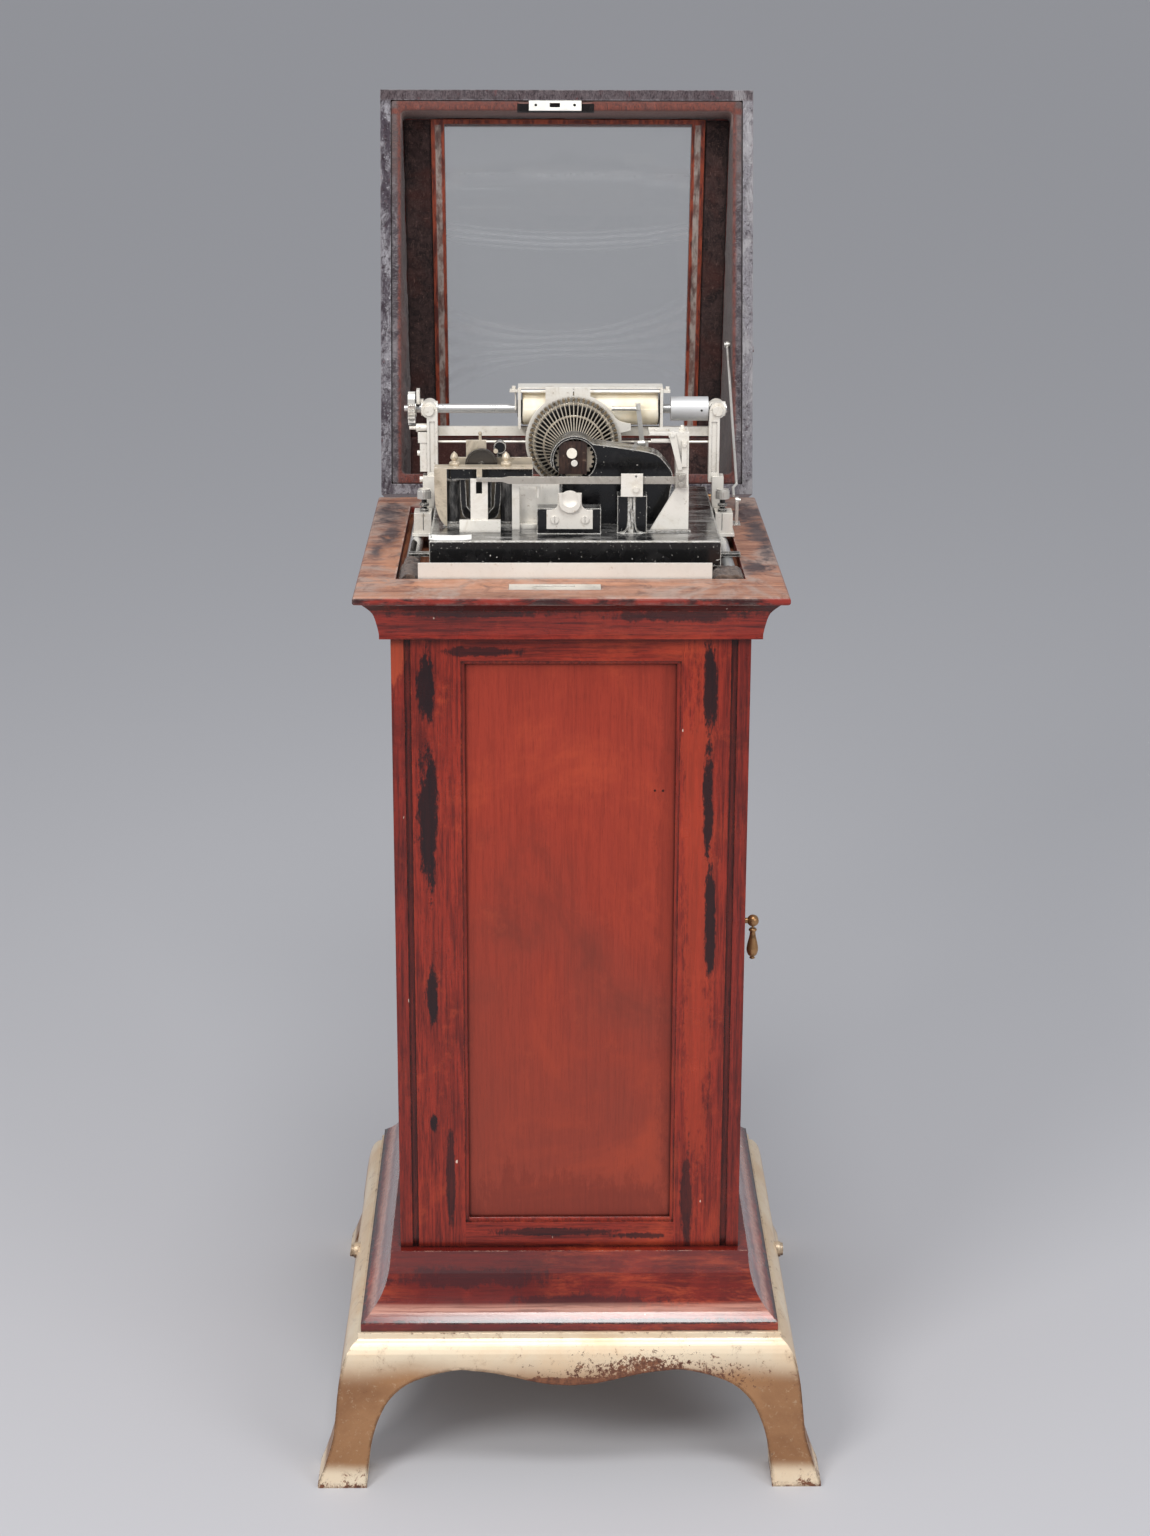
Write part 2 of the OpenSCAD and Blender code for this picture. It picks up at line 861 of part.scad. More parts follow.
module feed_shaft() {
    color("lightgray")
    translate([0, axis_y, axis_z]) {
        rod_x_axis(-181, 168, shaft_r);
        rod_x_axis(-185, -181, 3.4);
    }
}

module ratchet_wheel() {
    n = ratchet_teeth;
    r = 18.6;
    color("silver")
    translate([-180.6, axis_y, axis_z])
        rotate([90, 0, 90])
            difference() {
                union() {
                    linear_extrude(7.7)
                        polygon([for (i = [0:n - 1]) for (k = [0, 1])
                            let (a = (i + 0.12 * k) * 360 / n, q = k == 0 ? r - 3.4 : r)
                                [q * cos(a), q * sin(a)]]);
                    translate([0, 0, 7.7])
                        cylinder(h = 1.1, r = 9);
                }
                translate([0, 0, -1])
                    cylinder(h = 20, r = shaft_r);
            }
}

module spring_drum() {
    color("silver")
    translate([0, axis_y, axis_z])
        difference() {
            rod_x_axis(106.5, 147.6, 13.2);
            rod_x_axis(100, 149, shaft_r + 0.4);
            translate([140, -10, 0])
                rod_y_axis(-6, 0, 1.3);
        }
    // collar that joins the drum to the bearing
    color("silver")
    translate([0, axis_y, axis_z])
        difference() {
            rod_x_axis(147.6, 148.4, 8);
            rod_x_axis(147, 149, shaft_r + 0.4);
        }
}

platen_x = -56;

hub_r = 9.4;

module platen() {
    color("dimgray")
    translate([0, axis_y, axis_z])
        difference() {
            union() {
                rod_x_axis(platen_x, platen_x + platen_len, platen_r - 0.6);
                rod_x_axis(platen_x - 5.2, platen_x + platen_len + 5.4, hub_r);
            }
            rod_x_axis(platen_x - 9, platen_x + platen_len + 9, shaft_r + run_gap);
        }
}

module paper() {
    color("ivory")
    translate([0, axis_y, axis_z])
        difference() {
            rod_x_axis(platen_x + 0.5, platen_x + platen_len - 0.5, platen_r);
            rod_x_axis(platen_x - 1, platen_x + platen_len + 1, platen_r - 0.6);
        }
}

carriage_x0 = platen_x - 4.5;
carriage_x1 = platen_x + platen_len + 1.5;

// The two end plates, in which the platen turns
module carriage_plates() {
    color("silver")
    for (x = [carriage_x0, carriage_x1])
        difference() {
            span([x, 58, 114], [x + 3.2, 95, 157.5]);
            translate([0, axis_y, axis_z])
                rod_x_axis(x - 1, x + 5, hub_r + run_gap);
        }
}

module carriage() {
    x0 = carriage_x0;
    x1 = carriage_x1;
    color("silver") {
        // rear bar, top plate and two rods
        span([x0 + 3.2, 91, 114], [x1, 95, 122]);
        span([x0, 62, 157.5], [x1 + 3.2, 90, 158.9]);
        translate([0, 60.5, 155])
            rod_x_axis(x0 + 3.2, x1, 1.7);
        translate([0, 88, 155])
            rod_x_axis(x0 + 3.2, x1, 1.7);
        // corner pieces
        span([x0 - 9, 60, 154], [x0, 68, 157]);
        translate([x0 - 4.5, 64, 157])
            cylinder(h = 3.5, r = 2.2);
        translate([x0 - 2.5, 64, 134])
            cylinder(h = 20, r = 1);
        span([x1 + 3.2, 60, 153.5], [x1 + 11, 68, 157]);
        translate([x1 + 8, 64, 157])
            cylinder(h = 3, r = 2.2);
    }
}

hub_y = -6;
spoke_tilt = atan2(49.5, wheel_r - 14.5);
spoke_len = sqrt(49.5 * 49.5 + pow(wheel_r - 14.5, 2));

module type_wheel() {
    color("silver")
    translate([0, 0, wheel_z]) {
        rod_y_axis(-47.6, hub_y, 3.8);
        rod_y_axis(hub_y - 2, hub_y + 4, 12);
        for (i = [0:type_count - 1])
            rotate([0, i * 360 / type_count, 0])
                translate([0, hub_y + 1, 10.5])
                    rotate([-spoke_tilt, 0, 0])
                        linear_extrude(spoke_len)
                            square(1.1, center = true);
        for (r = [32.5, wheel_r - 5.6])
            translate([0, hub_y + 1 + (r - 10.5) * tan(spoke_tilt), 0])
                rotate([90, 0, 0])
                    rotate_extrude()
                        translate([r, 0])
                            square([2, 1.6], center = true);
        // gear behind the brown plate
        translate([0, -42, 0])
            rotate([90, 0, 0])
                linear_extrude(3)
                    polygon([for (i = [0:23]) for (k = [0:3])
                        let (a = (i + [0, 0.25, 0.5, 0.75][k]) * 15, q = k == 1 || k == 2 ? 21 : 18.6)
                            [q * cos(a), q * sin(a)]]);
    }
}

module type_heads() {
    color("ivory")
    translate([0, 0, wheel_z])
    for (i = [0:type_count - 1])
        rotate([0, i * 360 / type_count, 0])
            span([-1.5, 45, wheel_r - 4.2], [1.5, 50.5, wheel_r]);
}

// Dark dish behind the spokes, on a sleeve from the hub
module wheel_drum() {
    color("black")
    translate([0, 0, wheel_z]) {
        rod_y_axis(43.5, 44.9, wheel_r - 7.4);
        rod_y_axis(hub_y + 4, 43.5, 8);
    }
}

module type_guide() {
    color("wheat")
    translate([0, 55, wheel_z])
        rotate([90, 0, 0])
            linear_extrude(2.6)
                difference() {
                    union() {
                        circle(r = 52.4);
                        polygon([[-30.5, 38], [-30.5, 59.4], [18.3, 59.4], [18.3, 45]]);
                        polygon(concat(smooth([[38, 35.5], [44, 27.6], [51, 22], [62.6, 19.3]], 3),
                            [[62.6, 12], [49, 9], [30, 20]]));
                    }
                    circle(r = 38.5);
                    translate([-0.7, 50])
                        square([1.4, 12]);
                }
    // foot of the guide plate on the base
    color("wheat")
        span([-14, 51.2, base_top], [14, 55, 64]);
}

cover_y = -52;

module black_cover() {
    color("black")
    difference() {
        union() {
            // arch over the gear
            translate([0, 0, wheel_z])
                rod_y_axis(cover_y, -22, 25.5);
            translate([0, 0, wheel_z])
                rod_y_axis(-28, -9.5, 9);
            // body of the cover
            translate([0, -22, 0])
                rotate([90, 0, 0])
                    linear_extrude(-22 - cover_y)
                        polygon(concat([[-14, base_top], [-14, wheel_z - 21.7], [13, wheel_z + 21.7]],
                            smooth([[20, 118.5], [50, 114.5], [78, 110], [90, 105], [102, 90.5],
                                [104, 82.5]], 4),
                            [[96, base_top]]));
        }
        // round chamber of the gear, open at the front
        translate([0, 0, wheel_z])
            rod_y_axis(cover_y - 1, -26, 22.5);
        // bearing of the wheel's shaft
        translate([0, 0, wheel_z])
            rod_y_axis(-60, 0, 3.8 + run_gap);
        // lower left is cut away in front
        span([-40, cover_y - 1, wheel_z - 40], [-14.2, -26, wheel_z - 8]);
    }
}

module brown_plate() {
    color("saddlebrown")
    union() {
        intersection() {
            span([-16.5, cover_y + 2, wheel_z - 15.5], [13, cover_y + 4, wheel_z + 19.7]);
            translate([0, 0, wheel_z])
                rod_y_axis(cover_y, cover_y + 6, 22.5);
        }
    }
    color("ivory")
    translate([-2.9, 0, wheel_z + 7])
        rod_y_axis(cover_y - 0.4, cover_y + 2, 5.5);
}

module plate_screw() {
    color("silver")
    translate([-0.3, 0, wheel_z - 3.6])
        rod_y_axis(cover_y + 0.4, cover_y + 2, 3.5);
}

finger_z = 100;
finger_y = 50.7;

module paper_finger() {
    color("silver")
    difference() {
        union() {
            translate([0, finger_y, 138]) {
                rod_x_axis(43.8, 70, 2.3);
                rod_x_axis(41.5, 43.8, 2.8);
            }
            translate([70, finger_y, 137])
                cylinder(h = 7, r = 3);
            translate([0, finger_y + 1, 0])
                rotate([90, 0, 0])
                    linear_extrude(2)
                        polygon([[67.5, 142], [72.5, 142], [77.6, finger_z], [72.2, finger_z]]);
            translate([0, finger_y, finger_z])
                rod_x_axis(70, 78, 3);
        }
        translate([0, finger_y, finger_z])
            rod_x_axis(60, 90, 1.5 + run_gap);
    }
}

module finger_bracket() {
    color("silver")
    translate([0, finger_y, finger_z])
        rod_x_axis(66.4, 81.6, 1.5);
    color("silver")
    for (x = [66.4, 78.3]) {
        span([x, finger_y - 2.7, base_top], [x + 3.3, finger_y + 2.7, finger_z + 2.6]);
    }
}

lever_y = -92;
lever_z = 87.9;
lever_x = 63.6;

module lever_bar() {
    color("gray")
    difference() {
        union() {
            span([-68.9, lever_y, 84.1], [107, lever_y + 3, 91.7]);
            span([-102.4, lever_y, 86.2], [-76, lever_y + 3, 90.4]);
            // taper between the two widths
            translate([0, lever_y + 3, 0])
                rotate([90, 0, 0])
                    linear_extrude(3)
                        polygon([[-76, 86.2], [-68.9, 84.1], [-68.9, 91.7], [-76, 90.4]]);
            // end link
            span([104.7, lever_y - 2, 80.6], [116.3, lever_y + 3, 95.2]);
            for (z = [84.4, 91.8])
                translate([110.6, 0, z])
                    rod_y_axis(lever_y - 3.8, lever_y - 2, 2.6);
            translate([-101.2, 0, 89.2])
                rod_y_axis(lever_y - 2.4, lever_y, 1.8);
        }
        translate([lever_x, 0, lever_z])
            rod_y_axis(-110, -80, 2 + run_gap);
    }
}

module front_brackets() {
    color("wheat") {
        // clevis of the lever, with its pin, screw and hole
        difference() {
            union() {
                span([48, -96, 71.4], [70.8, -93.4, 95.6]);
                span([48, -96, 71.4], [70.8, -72, 74]);
                span([52, -88, 71.4], [70.8, -85.4, 93]);
            }
            translate([63.6, 0, 92.9])
                rod_y_axis(-97, -93, 1.2);
        }
        translate([lever_x, 0, lever_z])
            rod_y_axis(-95, -86, 2);
        translate([63.6, 0, 79])
            rod_y_axis(-98, -96, 3);
        // slotted upright plate with its foot
        difference() {
            union() {
                span([-109.3, -88, base_top], [-91.2, -85, 88.6]);
                span([-121, -90, base_top], [-77.9, -85, 45]);
                span([-121, -85, base_top], [-77.9, -76, 35]);
            }
            span([-103.5, -95, 72.6], [-97.1, -80, 85.4]);
        }
        // U-shaped bracket
        span([-66, -76, base_top], [-58, -73, 81.3]);
        span([-66, -76, 78.2], [-36, -74, 81.3]);
        translate([-38.4, -75, 66])
            cylinder(h = 13, r = 2);
        span([-66, -73, base_top], [-39, -62, 37]);
        span([-58, -65, base_top], [-16, -62, 80]);
    }
}

module notch_plate() {
    color("lightgray")
    difference() {
        union() {
            span([-29.7, -99.5, 37.8], [18.5, -97, 58]);
            span([-18, -99.5, 57], [7, -97, 76]);
            // fillets beside the tongue
            for (x = [-18, 7])
                translate([x - 7, -99.5, 58])
                    cube([14, 2.5, 7]);
            span([-16.7, -103, 67], [6, -97, 76]);
            translate([-5.35, 0, 67])
                rod_y_axis(-103, -97, 11.35);
        }
        for (x = [-25, 14])
            translate([x, 0, 65])
                rod_y_axis(-104, -90, 7);
        translate([-5.3, -113, 70])
            cylinder(h = 20, r = 13);
        translate([-5.3, -113, 70])
            sphere(r = 13);
    }
    color("silver")
    for (x = [-21.2, 10.5])
        translate([x, 0, 47.7])
            difference() {
                rod_y_axis(-101.2, -99.5, 4);
                span([-0.5, -102, -5], [0.5, -100.6, 5]);
            }
}

module right_column() {
    color("wheat") {
        difference() {
            span([107.5, -40, base_top], [121.3, -12, 126]);
            span([110, -37, base_top + 4], [122, -15, 122]);
        }
        difference() {
            span([79, -40, 126], [121.3, -10, 129]);
            span([85, -34, 125], [101, -20, 130]);
        }
        translate([114.6, -26, 129])
            cylinder(h = 3, r = 3.4);
        translate([114.6, -26, 132])
            cylinder(h = 2, r = 2);
        // two small bars to the cover
        span([81, -38, 118.4], [107.5, -35, 121.4]);
        span([104.5, -38, 112.4], [107.5, -35, 121.4]);
        // slanting link on the front of the column
        translate([0, -40, 0])
            rotate([90, 0, 0])
                linear_extrude(2.4)
                    union() {
                        polygon([[99.6, 127], [107, 128], [114.2, 91.6], [109.4, 90.4]]);
                        translate([103.4, 126])
                            circle(r = 4);
                        translate([111.8, 91])
                            circle(r = 2.5);
                    }
        translate([103.4, 0, 126])
            rod_y_axis(-43.6, -42, 2.2);
        translate([116.2, 0, 115.6])
            rod_y_axis(-43.6, -42, 2.2);
        span([113.5, -42, 92], [119, -40, 120]);
        // screw of the brown plate
        plate_screw();
        // tapered front plate
        translate([0, -82, 0])
            rotate([90, 0, 0])
                linear_extrude(3)
                    polygon([[106.9, 80.7], [119.4, 80.7], [119.4, base_top + 2], [79.2, base_top + 2]]);
    }
}

coil_x = [-129, -70.5];
fly_z = 94;

module magnets() {
    color("black") {
        for (x = coil_x) {
            translate([x, -50, base_top + 2])
                cylinder(h = 48, r = 7.6);
            for (z = [base_top + 2, 80])
                translate([x, -50, z])
                    cylinder(h = 2, r = 8.6);
        }
        // yoke over both coils, round at its left end
        span([-127.5, -59, 82], [-44, -42, 93.7]);
        translate([-127.5, -50.5, 82])
            cylinder(h = 11.7, r = 8.5);
        // U-shaped frame between the coils
        translate([0, -49, 0])
            rotate([90, 0, 0])
                linear_extrude(4)
                    difference() {
                        polygon(concat([[-77.5, 82], [-121.5, 82]],
                            smooth([[-121, 60], [-119, 44], [-113, 38], [-100, 36.5], [-87, 38],
                                [-80.5, 44], [-78, 60]], 3)));
                        polygon([[-115.5, 83], [-114, 52], [-108, 44.5], [-92, 44.5], [-85.5, 52], [-83.5, 83]]);
                    }
        // core behind, seen between the frame's legs
        span([-104, -48, base_top + 2], [-96, -30.5, 50]);
        span([-112, -46, 48], [-88, -43, 81]);
        // black column behind the U-shaped bracket
        span([-62, -60, base_top + 2], [-45, -42, 84]);
        // dark knob on its short post
        span([-82, -30, 100], [-76, -27, 112]);
        translate([-79, 0, 112])
            rod_y_axis(-37, -27, 6.5);
    }
}

module magnet_plates() {
    color("wheat") {
        // side plate with a large rounded corner, and the cap strip on the yoke
        translate([0, -59.1, 0])
            rotate([90, 0, 0])
                linear_extrude(2.8)
                    polygon(concat([[-134.8, 32], [-134.8, 95.2], [-148, 95.2]],
                        smooth([[-148, 70], [-147.2, 58], [-145.2, 48], [-141.4, 38.8], [-136.8, 33]], 3)));
        span([-148, -61.9, 93.7], [-44, -44, 95.2]);
        // strap and screw in the middle of the yoke
        span([-103.4, -61.9, 82.5], [-97.6, -59.1, 93.7]);
        translate([-100.5, 0, 84.8])
            rod_y_axis(-63.6, -61.9, 2.6);
        // plates behind with the post
        span([-130, -30, base_top], [-45, -27, 100]);
        span([-115, -30, 100], [-93.5, -27, 118.5]);
        translate([-100, -28.5, 118.5])
            cylinder(h = 7, r = 1.6);
        translate([-100, -28.5, 125.5])
            sphere(r = 2);
        translate([-98.8, 0, fly_z])
            rod_y_axis(-42, -28, 1.5);
        translate([-83.4, 0, 108.5])
            rod_y_axis(-39.6, -37, 2.4);
    }
    color("silver")
    for (x = [-127, -72.5])
        translate([x, -50, 95.2])
            rotate_extrude()
                polygon(concat([[0, 0]], smooth([[5.4, 0], [5.4, 3.4], [2.6, 5.2], [4.2, 8.4], [3.1, 12.2],
                    [1.2, 14.2], [0, 15.4]], 4)));
}

module flywheel() {
    color("dimgray")
    translate([-98.8, 0, fly_z])
        difference() {
            union() {
                difference() {
                    rod_y_axis(-41.6, -36, 17.2);
                    rod_y_axis(-44, -40.4, 15.4);
                }
                rod_y_axis(-41.2, -30.5, 3.4);
            }
            rod_y_axis(-50, -20, 1.5 + run_gap);
        }
}

on_floor() gilded_base();
on_floor() plinth_skirt();
on_floor() bottom_board();
on_floor() corner_posts();
on_floor() front_frame();
on_floor() front_panel();
on_floor() left_frame();
on_floor() left_panel();
on_floor() back_frame();
on_floor() back_panel();
on_floor() top_frame();
on_floor() cornice();
on_floor() deck();
on_floor() deck_fittings();
hinge_leaves();
on_floor() door_frame();
on_floor() door_panel();
on_floor() door_fittings();
on_floor() drop_pull();
open_lid() lid_walls();
open_lid() lid_top();
open_lid() lid_glass();
open_lid() lid_bead();
open_lid() lid_lining();
open_lid() lid_felt();
open_lid() lid_fittings();
open_lid() lid_knuckles();
on_floor() stay_rod();
on_deck() machine_base();
on_deck() front_strip();
on_deck() side_tubes();
on_deck() small_spring();
on_deck() felt_wads();
on_deck() rail_blocks();
on_deck() left_nut();
on_deck() right_nut();
on_deck() side_arms();
on_deck() rear_rail();
on_deck() feed_shaft();
on_deck() ratchet_wheel();
on_deck() spring_drum();
on_deck() platen();
on_deck() paper();
on_deck() carriage();
on_deck() carriage_plates();
on_deck() type_wheel();
on_deck() type_heads();
on_deck() wheel_drum();
on_deck() type_guide();
on_deck() black_cover();
on_deck() brown_plate();
on_deck() paper_finger();
on_deck() finger_bracket();
on_deck() lever_bar();
on_deck() front_brackets();
on_deck() notch_plate();
on_deck() right_column();
on_deck() magnets();
on_deck() magnet_plates();
on_deck() flywheel();
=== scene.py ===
import math
import random

import bmesh
import bpy
from mathutils import Matrix, Vector, noise
from mathutils.bvhtree import BVHTree


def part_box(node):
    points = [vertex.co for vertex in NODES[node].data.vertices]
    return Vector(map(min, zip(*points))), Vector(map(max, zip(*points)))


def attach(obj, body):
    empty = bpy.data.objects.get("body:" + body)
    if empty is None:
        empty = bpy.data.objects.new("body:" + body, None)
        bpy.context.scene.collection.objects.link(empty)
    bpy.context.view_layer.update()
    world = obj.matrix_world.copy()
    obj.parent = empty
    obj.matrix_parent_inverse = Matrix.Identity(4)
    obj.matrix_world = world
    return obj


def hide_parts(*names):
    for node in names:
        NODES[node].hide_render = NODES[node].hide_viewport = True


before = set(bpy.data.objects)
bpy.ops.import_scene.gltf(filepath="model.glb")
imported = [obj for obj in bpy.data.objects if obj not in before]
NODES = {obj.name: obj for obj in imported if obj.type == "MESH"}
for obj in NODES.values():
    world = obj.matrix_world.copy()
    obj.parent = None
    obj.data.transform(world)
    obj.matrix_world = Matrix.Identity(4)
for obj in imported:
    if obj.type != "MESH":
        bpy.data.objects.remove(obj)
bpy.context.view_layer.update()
MM = 0.001

# Places that everything else is measured from, read from the CAD nodes
deck_lo, deck_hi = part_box("deck")
SHIFT = (deck_lo.y + deck_hi.y) / 2
DECK = deck_hi.z
BODY_LO, BODY_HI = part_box("corner_posts")
LEAN = math.radians(15.2)
HINGE = Vector((0, SHIFT + 0.2445, DECK + 0.0008))


def machine(x, y, z):
    """A point given in mm from the machine's centre line and the deck's top."""
    return Vector(((x + 5) * MM, y * MM + SHIFT, z * MM + DECK))


def lid(x, s, h):
    """A point of the lid, given closed: s forward from the hinge, h above it, in mm."""
    s, h = s * MM, h * MM
    return Vector((x * MM, HINGE.y + s * math.sin(LEAN) + h * math.cos(LEAN),
                   HINGE.z + s * math.cos(LEAN) - h * math.sin(LEAN)))


def lid_roof(s):
    """Height of the lid's top frame above the lid's rim, in mm: level at the back, then sloping."""
    return 57 + 0.5 * (443 - max(s, 87))


def in_scene(name, data):
    """A new object with this data, linked to the scene."""
    o = bpy.data.objects.new(name, data)
    bpy.context.scene.collection.objects.link(o)
    return o


# ---- camera
PHOTO_HEIGHT, FOCAL_LENGTH = 1536.0, 2802.68  # pixels
SENSOR = 36.0  # mm
CAMERA_PLACE = Vector((-0.03177, SHIFT - 2.97247, 1.65764))
YAW, PITCH, ROLL = math.radians(0.75), math.radians(17.39), 0.0032


def add_camera():
    """The camera that was fitted to the photograph."""
    data = bpy.data.cameras.new("camera")
    data.sensor_fit = "VERTICAL"
    data.sensor_height = SENSOR
    data.lens = FOCAL_LENGTH * SENSOR / PHOTO_HEIGHT
    data.clip_end = 50
    forward = Vector((math.sin(YAW) * math.cos(PITCH), math.cos(YAW) * math.cos(PITCH), -math.sin(PITCH)))
    level = Vector((math.cos(YAW), -math.sin(YAW), 0))
    upright = level.cross(forward)
    right = level * math.cos(ROLL) + upright * math.sin(ROLL)
    up = upright * math.cos(ROLL) - level * math.sin(ROLL)
    m = Matrix((right, up, -forward)).transposed().to_4x4()
    m.translation = CAMERA_PLACE
    cam = in_scene("camera", data)
    cam.matrix_world = m
    bpy.context.scene.camera = cam


add_camera()


# ---- materials
def rgb(r, g, b):
    """A colour as it looks on the photograph, 0 to 255, as linear values."""
    out = []
    for c in (r, g, b):
        c /= 255
        out.append(c / 12.92 if c <= 0.04045 else ((c + 0.055) / 1.055) ** 2.4)
    return (*out, 1.0)


class Tree:
    """The node tree of a material or of the world."""

    def __init__(self, owner):
        owner.use_nodes = True
        self.nt = owner.node_tree

    def put(self, socket, value):
        """Links the socket to another one, or sets it to a constant."""
        if isinstance(value, bpy.types.NodeSocket):
            self.nt.links.new(value, socket)
        elif value is not None:
            socket.default_value = value

    def node(self, kind, *values, **named):
        """A new node, with its inputs put in order or by name. None leaves an input as it is."""
        n = self.nt.nodes.new("ShaderNode" + kind)
        for socket, value in zip(n.inputs, values):
            self.put(socket, value)
        for key, value in named.items():
            self.put(n.inputs[key.replace("_", " ")], value)
        return n

    def math(self, op, *values):
        n = self.node("Math", *values)
        n.operation = op
        return n.outputs[0]

    def fold(self, op, first, others):
        for value in others:
            first = self.math(op, first, value)
        return first

    def add(self, first, *others):
        return self.fold("ADD", first, others)

    def mul(self, first, *others):
        return self.fold("MULTIPLY", first, others)

    def max(self, first, *others):
        return self.fold("MAXIMUM", first, others)

    def sub(self, a, b):
        return self.math("SUBTRACT", a, b)

    def abs(self, a):
        return self.math("ABSOLUTE", a)


class Look(Tree):
    """Builds one material around a Principled shader."""

    def __init__(self, name):
        self.mat = bpy.data.materials.new(name)
        super().__init__(self.mat)
        self.nt.nodes.clear()
        self.out = self.node("OutputMaterial")
        self.bsdf = self.node("BsdfPrincipled")
        self.put(self.out.inputs[0], self.bsdf.outputs[0])
        self.coord = self.node("TexCoord").outputs["Object"]

    def shader(self, **values):
        for key, value in values.items():
            self.put(self.bsdf.inputs[key.replace("_", " ")], value)
        return self.mat

    def step(self, value, a, b, lo=0.0, hi=1.0):
        """Changes smoothly from lo to hi while value goes from a to b."""
        n = self.node("MapRange", Value=value, From_Min=a, From_Max=b, To_Min=lo, To_Max=hi)
        n.interpolation_type = "SMOOTHSTEP"
        return n.outputs[0]

    def sway(self, wave, amount):
        """A noise as a shift to both sides, amount wide in all."""
        return self.mul(self.sub(wave, 0.5), amount)

    def vector(self, op, a, b=None, out=0):
        n = self.node("VectorMath", a, b)
        n.operation = op
        return n.outputs[out]

    # colours
    def mix(self, share, a, b):
        n = self.node("Mix", share)
        n.data_type = "RGBA"
        self.put(n.inputs[6], a)
        self.put(n.inputs[7], b)
        return n.outputs[2]

    def fade(self, value, a, b, first, second):
        """One colour, changing to a second while value goes from a to b."""
        return self.mix(self.step(value, a, b), first, second)

    def over(self, under, colour, share, value, a, b):
        """Lays a share of a colour over another where value goes from a to b."""
        return self.mix(self.mul(self.step(value, a, b), share), under, colour)

    # patterns and places
    def scaled(self, x, y, z, turn=(0, 0, 0)):
        return self.node("Mapping", Vector=self.coord, Scale=(x, y, z), Rotation=turn).outputs[0]

    def noise(self, scale, detail, rough, vec=None, bend=0.0):
        return self.node("TexNoise", Vector=vec or self.coord, Scale=scale, Detail=detail, Roughness=rough,
                         Distortion=bend).outputs["Fac"]

    def axis(self, which, vec=None):
        return self.node("SeparateXYZ", vec or self.coord).outputs["XYZ".index(which)]

    def facing(self, which):
        return self.axis(which, self.node("NewGeometry").outputs["Normal"])

    def blob(self, centre, size, ragged, a, b):
        """A soft ragged spot: centre and half sizes in metres."""
        away = self.vector("MULTIPLY", self.vector("SUBTRACT", self.coord, centre), [1 / v for v in size])
        return self.step(self.add(self.vector("LENGTH", away, out="Value"), ragged), a, b)

    def soft_normal(self, radius):
        n = self.node("Bevel", Radius=radius)
        n.samples = 4
        return n.outputs[0]

    def edge(self, radius, a=0.02, b=0.25):
        """1 along sharp outer and inner edges, 0 on flat faces."""
        normal = self.node("NewGeometry").outputs["Normal"]
        same = self.vector("DOT_PRODUCT", self.soft_normal(radius), normal, out="Value")
        return self.step(self.sub(1.0, same), a, b)

    def hollows(self, reach):
        """1 in the open, less in corners whose walls are nearer than reach."""
        n = self.node("AmbientOcclusion", Distance=reach)
        n.samples = 6
        return n.outputs["AO"]

    def bump(self, height, strength, distance, normal=None):
        return self.node("Bump", Strength=strength, Distance=distance, Height=height, Normal=normal).outputs[0]


